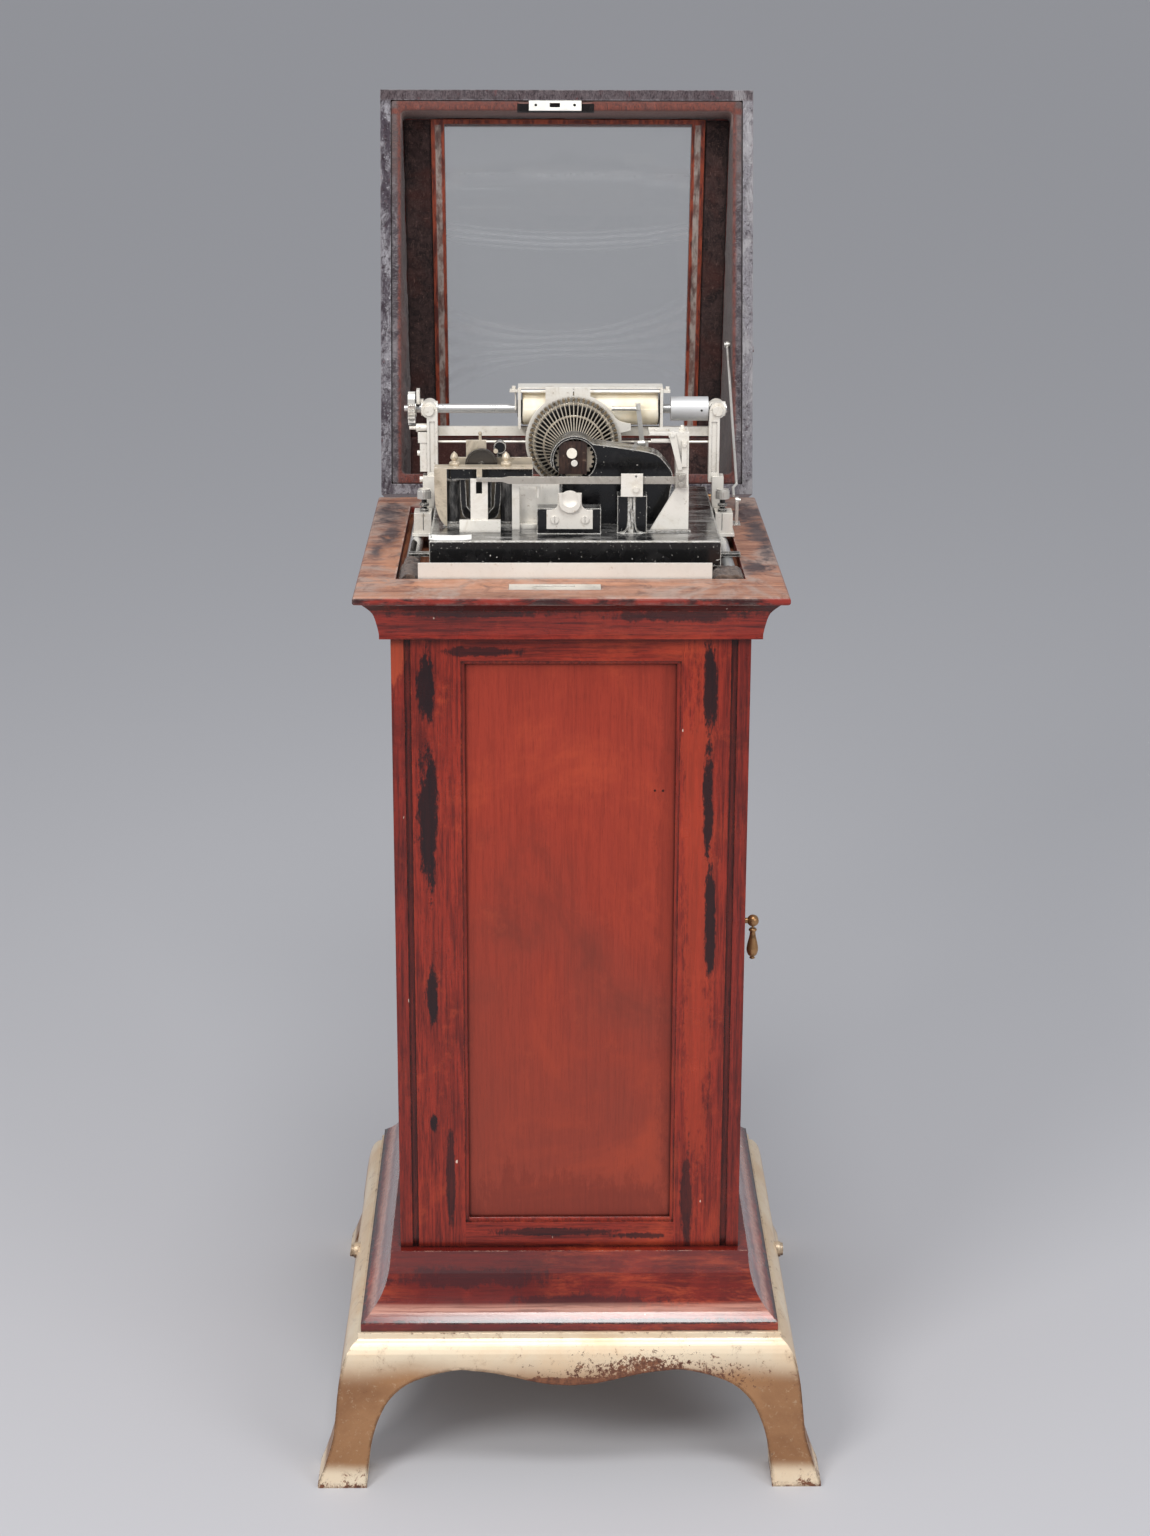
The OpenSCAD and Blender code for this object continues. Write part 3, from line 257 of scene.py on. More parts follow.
def wood(name, main, dark, light, along, rough=(0.24, 0.42), rails=None, stains=(), chips=0.0, coat=0.3,
         edge_colour=None, mottle=1.0, inner=None, amber=None, line=0.014, bloom_and_highlight=None, streaky=0.85, low=None):
    """Old varnished mahogany: short dark pores, soft bands, stains, worn edges and white chips."""
    k = Look(name)
    fine, slow = 620.0, 26.0
    scale = {"X": (slow, fine, fine), "Y": (fine, slow, fine), "Z": (fine, fine, slow)}

    def streaks(way):
        v, wide = k.scaled(*scale[way]), k.scaled(*(0.14 * c for c in scale[way]))
        return k.noise(0.5, 8, 0.72, v, 0.3), k.noise(2.2, 3, 0.75, v), k.noise(0.5, 6, 0.62, wide, 0.8)

    lines = streaks(along)
    if rails:
        other, lo, hi, half = rails
        z = k.axis("Z")
        inside = k.math("LESS_THAN", k.abs(k.axis(other)), half)
        pick = k.mul(k.add(k.math("LESS_THAN", z, lo), k.math("GREATER_THAN", z, hi)), inside)
        lines = [k.node("Mix", pick, None, a, b).outputs[0] for a, b in zip(lines, streaks(other))]
    grain, pores, bands = lines
    clouds = k.noise(4.6, 6, 0.62, None, 0.7)
    clouds_fine = k.noise(34, 6, 0.7)
    colour = k.over(main, dark, streaky, grain, 0.38, 0.68)
    colour = k.over(colour, dark, 0.3 * streaky, bands, 0.48, 0.74)
    colour = k.over(colour, light, 0.6 * mottle, clouds, 0.5, 0.70)
    colour = k.over(colour, dark, 0.6 * mottle, clouds, 0.47, 0.3)
    if amber:
        spots = k.noise(36, 7, 0.8, k.scaled(0.35, 0.6, 1.9), 0.4)
        patch = k.mul(k.step(k.noise(3.1, 3, 0.5), 0.45, 0.64), k.step(spots, 0.44, 0.66))
        colour = k.mix(k.mul(patch, 0.75), colour, amber)
    colour = k.over(colour, light, 0.3 * mottle, clouds_fine, 0.56, 0.75)
    colour = k.over(colour, dark, 0.9 * streaky, pores, 0.56, 0.64)
    if low:
        tone, z0, z1, amount = low
        drift = k.add(k.axis("Z"), k.sway(clouds, 0.9))
        colour = k.over(colour, tone, amount, drift, z1, z0)
    ragged = k.add(k.sway(bands, 1.6), k.sway(k.noise(52, 7, 0.8, k.scaled(1.5, 1.5, 0.5)), 3.0))
    for place, tone, amount in stains:
        masks = [k.blob(c, s, ragged, 1.15, 0.75) for c, s in place]
        colour = k.mix(k.mul(k.max(*masks), amount), colour, tone)
    # painted shade: the inner colour is laid into corners and grooves, more where their walls are near
    if inner:
        colour = k.over(colour, inner, 0.95, k.hollows(line), 0.86, 0.45)
    worn = k.mul(k.edge(0.0022), k.step(k.noise(110, 5, 0.7), 0.47, 0.62))
    colour = k.mix(k.mul(worn, 0.6), colour, edge_colour or light)
    if bloom_and_highlight:
        # painted highlight in one band, partly polish gone pale
        z, half = bloom_and_highlight
        band = k.abs(k.sub(k.axis("Z"), z))
        pale = k.step(k.add(band, k.sway(bands, half)), half, half * 0.2)
        pale = k.mul(pale, k.step(grain, 0.62, 0.44, 0.35, 0.75))
        colour = k.mix(k.mul(pale, 0.7), colour, rgb(236, 176, 154))
    if chips:
        spot = k.step(k.noise(90, 2, 0.5, k.scaled(1.0, 1.0, 0.5)), 0.785 - chips, 0.80 - chips)
        colour = k.mix(k.mul(spot, 0.85), colour, rgb(226, 204, 186))
    height = k.add(k.mul(pores, 0.7), k.mul(clouds_fine, 0.5))
    return k.shader(Base_Color=colour, Roughness=k.step(k.noise(14, 6, 0.65), 0.3, 0.7, *rough),
                    Normal=k.bump(height, 0.25, 0.0005, k.soft_normal(0.0012)), Coat_Weight=coat,
                    Coat_Roughness=0.14, Specular_IOR_Level=0.24)


def metal(name, main, dark, rough=(0.26, 0.42), shiny=0.75, brush=(1400, 90, 90), rust=None,
          edge_light=rgb(250, 247, 240), stain=0.5):
    """Brushed old metal with smears, specks, painted shade in its corners and bright edges."""
    k = Look(name)
    smear = k.noise(34, 7, 0.7, None, 0.7)
    specks = k.noise(520, 3, 0.65)
    colour = k.over(main, dark, stain, smear, 0.46, 0.72)
    colour = k.over(colour, dark, 0.4, specks, 0.60, 0.72)
    if rust:
        spots = k.step(k.noise(120, 6, 0.75), 0.60, 0.70)
        colour = k.mix(k.mul(spots, 0.6), colour, rust)
    # painted shade in corners, where walls are near
    colour = k.over(colour, rgb(46, 38, 32), 0.85, k.hollows(0.007), 0.70, 0.22)
    worn = k.mul(k.edge(0.0007), k.step(k.noise(300, 3, 0.6), 0.35, 0.55))
    colour = k.mix(k.mul(worn, 0.8), colour, edge_light)
    scratch = k.noise(1.0, 4, 0.6, k.scaled(*brush))
    height = k.add(k.mul(scratch, 0.5), k.mul(specks, 0.5))
    r = k.add(k.step(smear, 0.3, 0.75, *rough), k.mul(scratch, 0.08))
    return k.shader(Base_Color=colour, Roughness=r, Metallic=shiny,
                    Normal=k.bump(height, 0.2, 0.0001, k.soft_normal(0.0005)))


def japan(name, bare_from, ribs=False):
    """Black enamel over iron, worn pale along its edges, with small chips: the more, the lower bare_from."""
    k = Look(name)
    dust = k.noise(42, 7, 0.72, None, 0.5)
    base = k.fade(dust, 0.5, 0.8, rgb(10, 10, 12), rgb(42, 40, 40))
    rag = k.noise(330, 5, 0.75)
    worn = k.mul(k.edge(0.0018, 0.008, 0.07), k.step(rag, 0.30, 0.42))
    chips = k.step(k.noise(150, 4, 0.75), bare_from, bare_from + 0.01)
    small = k.step(k.noise(380, 3, 0.6), bare_from + 0.015, bare_from + 0.025)
    bare = k.max(worn, chips, small)
    if ribs:
        # fine upright lines, worn bright, on the block that stands on the front of the base
        x, y, z = (k.axis(way) for way in "XYZ")
        near = k.mul(k.step(k.abs(k.sub(x, 0.0643)), 0.0046, 0.0030), k.step(y, SHIFT - 0.0915, SHIFT - 0.0925))
        lines = k.step(k.noise(1.0, 5, 0.7, k.scaled(900, 900, 70)), 0.40, 0.56)
        tall = k.mul(k.step(z, DECK + 0.074, DECK + 0.068), k.step(z, DECK + 0.0318, DECK + 0.0330))
        bare = k.max(bare, k.mul(near, lines, k.mul(tall, 0.8)))
    colour = k.mix(bare, base, k.fade(rag, 0.4, 0.6, rgb(244, 241, 235), rgb(190, 184, 174)))
    up = k.step(k.facing("Z"), 0.6, 1.0)
    smear = k.step(k.noise(46, 7, 0.75, k.scaled(0.5, 1.6, 1.0), 0.6), 0.40, 0.72)
    colour = k.mix(k.mul(up, smear, 0.8), colour, rgb(168, 166, 163))
    height = k.add(k.mul(bare, -1.0), k.mul(k.noise(700, 2, 0.5), 0.3))
    return k.shader(Base_Color=colour, Roughness=k.step(dust, 0.3, 0.8, 0.16, 0.42),
                    Normal=k.bump(height, 0.35, 0.00012, k.soft_normal(0.0009)), Coat_Weight=0.5,
                    Coat_Roughness=0.12)


def lid_axes(k):
    """Distances in metres along the lid: forward from its hinge, and above its rim."""
    ways = (0, math.sin(LEAN), math.cos(LEAN)), (0, math.cos(LEAN), -math.sin(LEAN))
    return [k.sub(k.vector("DOT_PRODUCT", k.coord, way, out="Value"), Vector(way).dot(HINGE)) for way in ways]


def mortise(k, s):
    """The hollow of the lid's lock, wider than its plate."""
    across = k.step(k.abs(k.add(k.axis("X"), 0.013)), 0.0452, 0.0444)
    return k.mul(across, k.step(k.abs(k.sub(s, 0.4440)), 0.0110, 0.0104))


def felt(name, main, dark, fleck, scale, rub=None, rim=False):
    """Fuzzy cloth. With rim, the edge that faces the deck is worn to other colours."""
    k = Look(name)
    fuzz = k.noise(1000 * scale, 5, 0.8, None, 0.8)
    lumps = k.noise(85 * scale, 7, 0.75, None, 0.7)
    wide = k.noise(11, 6, 0.65, None, 0.5)
    hair = k.noise(1.0, 6, 0.8, k.scaled(420, 420, 90, (0.5, 0.9, 0.3)), 1.8)
    hair2 = k.noise(1.0, 6, 0.8, k.scaled(120, 420, 420, (0.2, 0.4, 0.9)), 1.8)
    colour = k.fade(lumps, 0.36, 0.66, main, dark)
    colour = k.over(colour, rub or dark, 0.7, wide, 0.46, 0.66)
    colour = k.over(colour, fleck, 0.6, hair, 0.55, 0.66)
    colour = k.over(colour, fleck, 0.5, hair2, 0.57, 0.66)
    colour = k.over(colour, dark, 0.45, fuzz, 0.55, 0.75)
    if rim:
        s, h = lid_axes(k)
        x = k.abs(k.axis("X"))
        grey = k.fade(lumps, 0.34, 0.6, rgb(128, 121, 124), rgb(66, 58, 63))
        grey = k.over(grey, rgb(58, 48, 52), 0.6, wide, 0.42, 0.6)
        grey = k.over(grey, rgb(168, 164, 166), 0.5, hair2, 0.52, 0.62)
        high = k.step(k.add(s, k.mul(lumps, 0.1)), 0.36, 0.46)
        grey = k.mix(k.mul(high, 0.6), grey, k.fade(hair2, 0.4, 0.6, rgb(134, 108, 102), rgb(72, 58, 56)))
        shaky = k.sway(lumps, 0.008)
        inner = k.add(x, shaky)
        edge = k.max(k.step(inner, 0.1985, 0.1945), k.mul(k.step(s, 0.441, 0.443), k.step(s, 0.451, 0.447)))
        seam = k.step(x, 0.2026, 0.2040)
        grey = k.mix(k.mul(seam, 0.9), grey, rgb(26, 20, 24))
        grey = k.mix(k.mul(edge, 0.7), grey, k.fade(hair, 0.4, 0.6, rgb(142, 70, 52), rgb(76, 40, 36)))
        at_rim = k.step(k.add(h, k.mul(shaky, 0.3)), 0.0045, 0.0012)
        glow = k.step(k.add(h, shaky), 0.034, 0.004)
        colour = k.mix(k.mul(glow, 0.7), colour, k.fade(fuzz, 0.4, 0.65, rgb(112, 58, 46), rgb(58, 32, 30)))
        ceiling = k.mul(k.step(s, 0.424, 0.437), k.step(h, 0.05, 0.02))
        dusty = k.fade(fuzz, 0.4, 0.65, rgb(186, 150, 140), rgb(122, 94, 88))
        colour = k.mix(k.mul(ceiling, 0.8), colour, dusty)
        colour = k.mix(at_rim, colour, grey)
        # painted shade: the lock's mortise is painted near black as a hollow
        colour = k.over(colour, rgb(20, 14, 15), mortise(k, s), h, 0.014, 0.010)
    height = k.add(k.mul(fuzz, 0.5), k.add(lumps, k.mul(hair, 0.8)))
    return k.shader(Base_Color=colour, Roughness=k.step(lumps, 0.2, 0.8, 0.86, 0.98),
                    Normal=k.bump(height, 0.9, 0.0014), Sheen_Weight=0.25, Sheen_Roughness=0.5,
                    Specular_IOR_Level=0.15)


def box_place(x, z0, z1, half):
    """A tall spot on the front face of the body: x, lower and upper height, half width, in mm."""
    return ((x * MM, BODY_LO.y, (z0 + z1) / 2 * MM), (half * MM, 0.03, (z1 - z0) / 2 * MM))


def flat_place(x, y, rx, ry):
    """A spot on the deck's top, in mm from the deck's centre."""
    return ((x * MM, SHIFT + y * MM, DECK), (rx * MM, ry * MM, 0.02))


def cabinet_woods(m):
    """Looks of the cabinet, its lid and its base."""
    red, red_dark, red_light = rgb(150, 46, 30), rgb(70, 18, 16), rgb(198, 78, 44)
    # the second colour is painted shade for the frames' corners and grooves
    black, corner_shade = rgb(24, 13, 17), rgb(30, 8, 9)
    face, crown = BODY_LO.y, BODY_HI.z
    z_lo, z_hi = BODY_LO.z + 0.029, crown - 0.026  # between the front frame's rails
    front_dark = [box_place(-150, 838, 925, 11), box_place(-150, 650, 812, 11), box_place(-147, 512, 574, 7),
                  box_place(143, 838, 925, 7), box_place(143, 705, 806, 6), box_place(147, 560, 680, 6),
                  box_place(-147, 380, 400, 4)]
    rail_dark = [((-0.01, face, z_lo - 0.012), (0.06, 0.03, 0.005)),
                 ((0.075, face, z_lo - 0.016), (0.03, 0.03, 0.004)),
                 ((-0.09, face, z_hi + 0.010), (0.05, 0.03, 0.005)),
                 ((0.126, face, z_lo + 0.03), (0.007, 0.03, 0.06)),
                 ((-0.128, face, z_lo + 0.05), (0.005, 0.03, 0.06))]
    specks = [box_place(x, z - r, z + r, r) for x, z, r in ((87.5, 764.6, 1.6), (96, 764.4, 1.4))]
    m["frame"] = wood("frame_wood", red, red_dark, red_light, "Z", rails=("X", z_lo, z_hi, 0.113), chips=0.008,
                      stains=[([box_place(134, 280, 920, 16)], rgb(176, 62, 36), 0.5),
                              (front_dark, black, 0.95), (rail_dark, black, 0.8)], inner=corner_shade)
    m["side_frame"] = wood("side_frame_wood", red, red_dark, red_light, "Z", chips=0.004,
                           stains=[([((0.0, SHIFT - 0.16, 0.70), (0.4, 0.010, 0.12)),
                                     ((0.0, SHIFT + 0.165, 0.52), (0.4, 0.008, 0.10)),
                                     ((0.0, SHIFT + 0.15, 0.83), (0.4, 0.007, 0.06))], black, 0.8)],
                           inner=corner_shade)
    m["panel"] = wood("panel_wood", rgb(156, 56, 40), rgb(104, 34, 26), rgb(180, 72, 46), "Z",
                      rough=(0.36, 0.5), coat=0.06, mottle=1.1, inner=rgb(46, 14, 12), line=0.018, streaky=0.36,
                      low=(rgb(124, 66, 54), 0.30, 0.78, 0.45),
                      # the first two spots darken the panel along its bottom, and along its right edge next to
                      # the frame as painted shade
                      stains=[([((0.0, face, 0.28), (0.14, 0.05, 0.05)),
                                ((0.104, face, 0.62), (0.014, 0.05, 0.4))], rgb(88, 30, 24), 0.25),
                              (specks, rgb(38, 14, 12), 0.95)])
    m["post"] = wood("post_wood", rgb(138, 42, 30), rgb(58, 17, 18), rgb(168, 62, 38), "Z", chips=0.016,
                     stains=[([box_place(-180, 880, 940, 9)], rgb(184, 78, 48), 0.6)], inner=rgb(16, 6, 8))
    m["cornice"] = wood("cornice_wood", rgb(154, 46, 32), rgb(56, 16, 18), rgb(190, 74, 46), "X", chips=0.006,
                        coat=0.35, rough=(0.2, 0.34), inner=rgb(24, 8, 10), line=0.008,
                        stains=[([((-0.10, face - 0.02, crown + 0.028), (0.09, 0.05, 0.005)),
                                  ((0.10, face - 0.02, crown + 0.026), (0.09, 0.05, 0.007)),
                                  ((0.0, face - 0.03, crown + 0.036), (0.3, 0.05, 0.006))],
                                 black, 0.75)])
    m["plinth"] = wood("plinth_wood", rgb(110, 26, 19), rgb(48, 12, 14), rgb(150, 44, 28), "X", chips=0.006,
                       # the pale edges are wear and painted highlight along the plinth's edges
                       coat=1.0, rough=(0.2, 0.34), edge_colour=rgb(226, 178, 156), amber=rgb(192, 78, 42),
                       # painted highlight band along the lower cove, partly pale polish
                       bloom_and_highlight=(0.184, 0.007), streaky=0.45, inner=rgb(24, 8, 10), line=0.008,
                       stains=[([((-0.1, SHIFT - 0.24, 0.215), (0.10, 0.06, 0.012)),
                                 ((0.02, SHIFT - 0.24, 0.19), (0.09, 0.06, 0.010))], rgb(56, 20, 24), 0.7),
                               ([((0.0, SHIFT, 0.1745), (0.4, 0.4, 0.0022))], rgb(34, 14, 14), 0.9)])
    m["inside"] = wood("carcass_wood", rgb(150, 92, 64), rgb(96, 58, 44), rgb(176, 116, 82), "Y",
                       rough=(0.6, 0.8), coat=0.0)

    # the lid: mahogany outside, its rim worn grey and purple where it meets the deck
    k = Look("lid_wood")
    grain = k.noise(0.5, 8, 0.68, k.scaled(300, 300, 13), 0.2)
    pores = k.noise(2.6, 3, 0.75, k.scaled(300, 300, 13))
    clouds = k.noise(7, 6, 0.7, None, 0.6)
    c = k.fade(grain, 0.36, 0.66, rgb(116, 44, 34), rgb(58, 20, 20))
    c = k.over(c, rgb(150, 66, 44), 0.5, clouds, 0.5, 0.7)
    c = k.over(c, rgb(48, 24, 26), 0.6, clouds, 0.46, 0.3)
    s, h = lid_axes(k)
    lumps = k.noise(150, 7, 0.8, None, 0.8)
    blots = k.noise(34, 7, 0.75, k.scaled(1.6, 1.6, 0.6), 0.8)
    hair = k.noise(1.0, 6, 0.8, k.scaled(600, 600, 70), 1.2)
    grey = k.fade(blots, 0.40, 0.60, rgb(140, 137, 142), rgb(66, 58, 66))
    grey = k.over(grey, rgb(44, 34, 40), 0.85, lumps, 0.50, 0.60)
    grey = k.over(grey, rgb(52, 42, 48), 0.7, hair, 0.5, 0.62)
    grey = k.over(grey, rgb(198, 196, 200), 0.7, k.noise(260, 6, 0.85), 0.58, 0.64)
    grey = k.over(grey, rgb(108, 52, 58), 0.55, k.noise(210, 5, 0.8), 0.60, 0.68)
    top = k.fade(hair, 0.42, 0.6, rgb(92, 80, 82), rgb(40, 30, 34))
    top = k.over(top, rgb(120, 50, 48), 0.5, blots, 0.58, 0.66)
    grey = k.over(grey, top, 0.88, s, 0.456, 0.460)
    right = k.mul(k.step(k.axis("X"), 0.19, 0.2), k.step(blots, 0.45, 0.6))
    grey = k.mix(k.mul(right, 0.5), grey, rgb(196, 194, 196))
    rim = k.step(k.add(h, k.sway(lumps, 0.004)), 0.0030, 0.0010)
    c = k.mix(rim, c, grey)
    # painted shade: the lock's mortise is painted near black as a hollow
    c = k.mix(k.mul(rim, mortise(k, s)), c, rgb(20, 14, 15))
    worn = k.mul(k.edge(0.0022), k.step(k.noise(120, 5, 0.7), 0.42, 0.58))
    c = k.mix(k.mul(worn, 0.7), c, rgb(176, 172, 174))
    height = k.add(k.mul(lumps, k.add(rim, 0.2)), pores)
    rough = k.step(k.add(rim, k.mul(clouds, 0.3)), 0.1, 1.0, 0.34, 0.85)
    m["lid_wood"] = k.shader(Base_Color=c, Roughness=rough, Coat_Weight=0.05, Specular_IOR_Level=0.3,
                             Normal=k.bump(height, 0.4, 0.0008, k.soft_normal(0.0015)))

    # frame of the glass, seen from inside: dark dull strip between two red lines
    k = Look("bead_wood")
    x = k.sub(k.abs(k.sub(k.axis("X"), 0.002)), 0.1465)
    g = k.noise(0.6, 6, 0.7, k.scaled(240, 240, 16), 0.4)
    b = k.noise(60, 6, 0.75, k.scaled(1, 1, 0.5))
    wobble = k.add(x, k.sway(b, 0.003))
    dull = k.fade(b, 0.40, 0.60, rgb(126, 96, 88), rgb(178, 164, 156))
    dull = k.over(dull, rgb(56, 38, 36), 0.6, g, 0.48, 0.65)
    red = k.fade(g, 0.4, 0.6, rgb(160, 72, 48), rgb(90, 38, 32))
    s, h = lid_axes(k)
    roof = lid_roof(270) * MM
    lines = k.max(k.step(wobble, 0.0044, 0.0030), k.step(wobble, 0.0100, 0.0116), k.step(s, 0.4385, 0.4405),
                  k.step(h, roof + 0.10, roof + 0.11))
    worn = k.mul(k.edge(0.0018), k.step(b, 0.4, 0.55))
    c = k.mix(k.mul(worn, 0.7), k.mix(lines, dull, red), rgb(206, 118, 78))
    m["bead"] = k.shader(Base_Color=c, Roughness=k.step(b, 0.3, 0.7, 0.45, 0.8),
                         Normal=k.bump(g, 0.3, 0.0005, k.soft_normal(0.0012)))

    # worn deck top, red along its edges
    k = Look("deck_wood")
    grain = k.noise(0.5, 8, 0.68, k.scaled(14, 260, 260), 0.3)
    wide = k.noise(9, 7, 0.7, None, 0.9)
    mid = k.noise(38, 7, 0.75, None, 0.8)
    c = k.fade(grain, 0.36, 0.66, rgb(184, 134, 110), rgb(134, 92, 76))
    c = k.over(c, rgb(170, 150, 140), 0.75, wide, 0.46, 0.60)
    c = k.over(c, rgb(104, 76, 68), 0.6, mid, 0.52, 0.66)
    c = k.over(c, rgb(192, 134, 102), 0.55, mid, 0.44, 0.3)
    ragged = k.mul(k.sub(k.add(k.mul(mid, 0.7), k.noise(17, 7, 0.75, None, 1.4)), 0.85), 4.2)
    blue = [flat_place(-204, 150, 16, 60), flat_place(-196, 40, 9, 60), flat_place(-206, -40, 8, 40),
            flat_place(202, 150, 20, 60), flat_place(208, 60, 12, 70), flat_place(212, -40, 10, 60),
            flat_place(196, -110, 16, 30), flat_place(30, 214, 190, 16)]
    c = k.mix(k.mul(k.max(*[k.blob(a, b, ragged, 1.5, 0.35) for a, b in blue]), 0.86), c,
              k.fade(mid, 0.4, 0.6, rgb(36, 36, 46), rgb(86, 78, 80)))
    bare = [flat_place(-186, -90, 22, 90), flat_place(-120, -190, 90, 22), flat_place(90, -188, 110, 10)]
    c = k.mix(k.mul(k.max(*[k.blob(a, b, ragged, 1.15, 0.5) for a, b in bare]), 0.45), c, rgb(208, 142, 104))
    side = k.step(k.facing("Z"), 0.85, 0.3)
    blot = k.noise(20, 6, 0.7, k.scaled(1.0, 1.0, 3.0), 0.5)
    red = k.fade(blot, 0.44, 0.58, rgb(138, 44, 34), rgb(54, 22, 22))
    c = k.mix(side, c, red)
    rim = k.mul(k.edge(0.0048, 0.02, 0.16), k.step(k.noise(48, 7, 0.8), 0.45, 0.58))
    c = k.mix(k.mul(rim, 0.8), c, k.fade(mid, 0.4, 0.6, rgb(222, 206, 196), rgb(128, 112, 108)))
    low = k.step(k.axis("Z"), DECK - 0.0078, DECK - 0.0088)
    c = k.mix(k.mul(low, k.step(blot, 0.44, 0.56)), c, rgb(202, 190, 178))
    height = k.add(grain, k.mul(mid, 0.8))
    m["deck"] = k.shader(Base_Color=c, Roughness=k.step(mid, 0.3, 0.7, 0.36, 0.66),
                         Normal=k.bump(height, 0.35, 0.0006, k.soft_normal(0.001)), Coat_Weight=0.06,
                         Specular_IOR_Level=0.35)

    # gold-bronze paint, pale above and at the feet and browner on the legs between as painted highlight and
    # shade, worn to brown in the middle of the apron and at its lower edges
    k = Look("gilt_paint")
    wide = k.noise(8, 7, 0.62, None, 0.5)
    fine = k.noise(190, 6, 0.8)
    mid = k.noise(62, 7, 0.8, None, 0.4)
    z = k.axis("Z")
    # painted highlight and shade: pale at the top and the feet, browner on the legs
    pale = k.max(k.step(z, 0.098, 0.156), k.step(z, 0.034, 0.008))
    pale = k.step(k.add(pale, k.sway(wide, 0.9)), 0.1, 0.9)
    c = k.mix(pale, k.fade(wide, 0.3, 0.7, rgb(180, 134, 94), rgb(146, 102, 70)),
              k.fade(wide, 0.35, 0.7, rgb(255, 237, 208), rgb(238, 208, 172)))
    c = k.over(c, rgb(244, 224, 190), 0.4, fine, 0.55, 0.72)
    c = k.over(c, rgb(146, 104, 74), 0.36, mid, 0.53, 0.68)
    rims = k.mul(k.edge(0.006, 0.006, 0.09), k.step(k.noise(120, 6, 0.8), 0.38, 0.52), k.step(z, 0.150, 0.135))
    c = k.mix(k.mul(rims, 0.9), c, rgb(86, 58, 42))
    # downward faces browner: painted shade under the apron, partly gold worn off underneath
    under = k.mul(k.step(k.facing("Z"), -0.12, -0.4), k.step(k.noise(70, 6, 0.8), 0.34, 0.5))
    c = k.mix(k.mul(under, 0.75), c, rgb(92, 62, 45))
    front = k.step(k.facing("Y"), -0.2, -0.5)
    place = k.mul(k.blob((0.058, SHIFT - 0.27, 0.120), (0.18, 0.2, 0.040), k.sway(wide, 1.5), 1.1, 0.2), front)
    lip = k.mul(k.blob((-0.01, SHIFT - 0.27, 0.112), (0.06, 0.2, 0.010), k.sway(mid, 1.5), 1.2, 0.4), front)
    side_wear = k.mul(k.step(z, 0.16, 0.10), k.step(k.noise(7, 4, 0.6), 0.5, 0.66))
    foot = k.step(z, 0.012, 0.002)
    amount = k.add(k.mul(k.edge(0.004, 0.02, 0.3), 0.10), k.mul(place, 0.115), k.mul(lip, 0.22),
                   k.mul(side_wear, 0.085), k.mul(foot, 0.13))
    bare = k.step(k.add(mid, amount), 0.645, 0.675)
    bare = k.max(bare, k.step(k.add(fine, k.mul(k.add(place, k.mul(side_wear, 0.45)), 0.19)), 0.69, 0.71))
    c = k.mix(bare, c, k.fade(fine, 0.4, 0.65, rgb(132, 84, 58), rgb(84, 50, 38)))
    rough = k.add(k.step(wide, 0.3, 0.7, 0.32, 0.46), k.mul(bare, 0.3))
    shine = k.sub(0.45, k.mul(bare, 0.4))
    m["gilt"] = k.shader(Base_Color=c, Roughness=rough, Metallic=shine,
                         Normal=k.bump(k.sub(k.mul(fine, 0.5), bare), 0.3, 0.0004, k.soft_normal(0.002)))


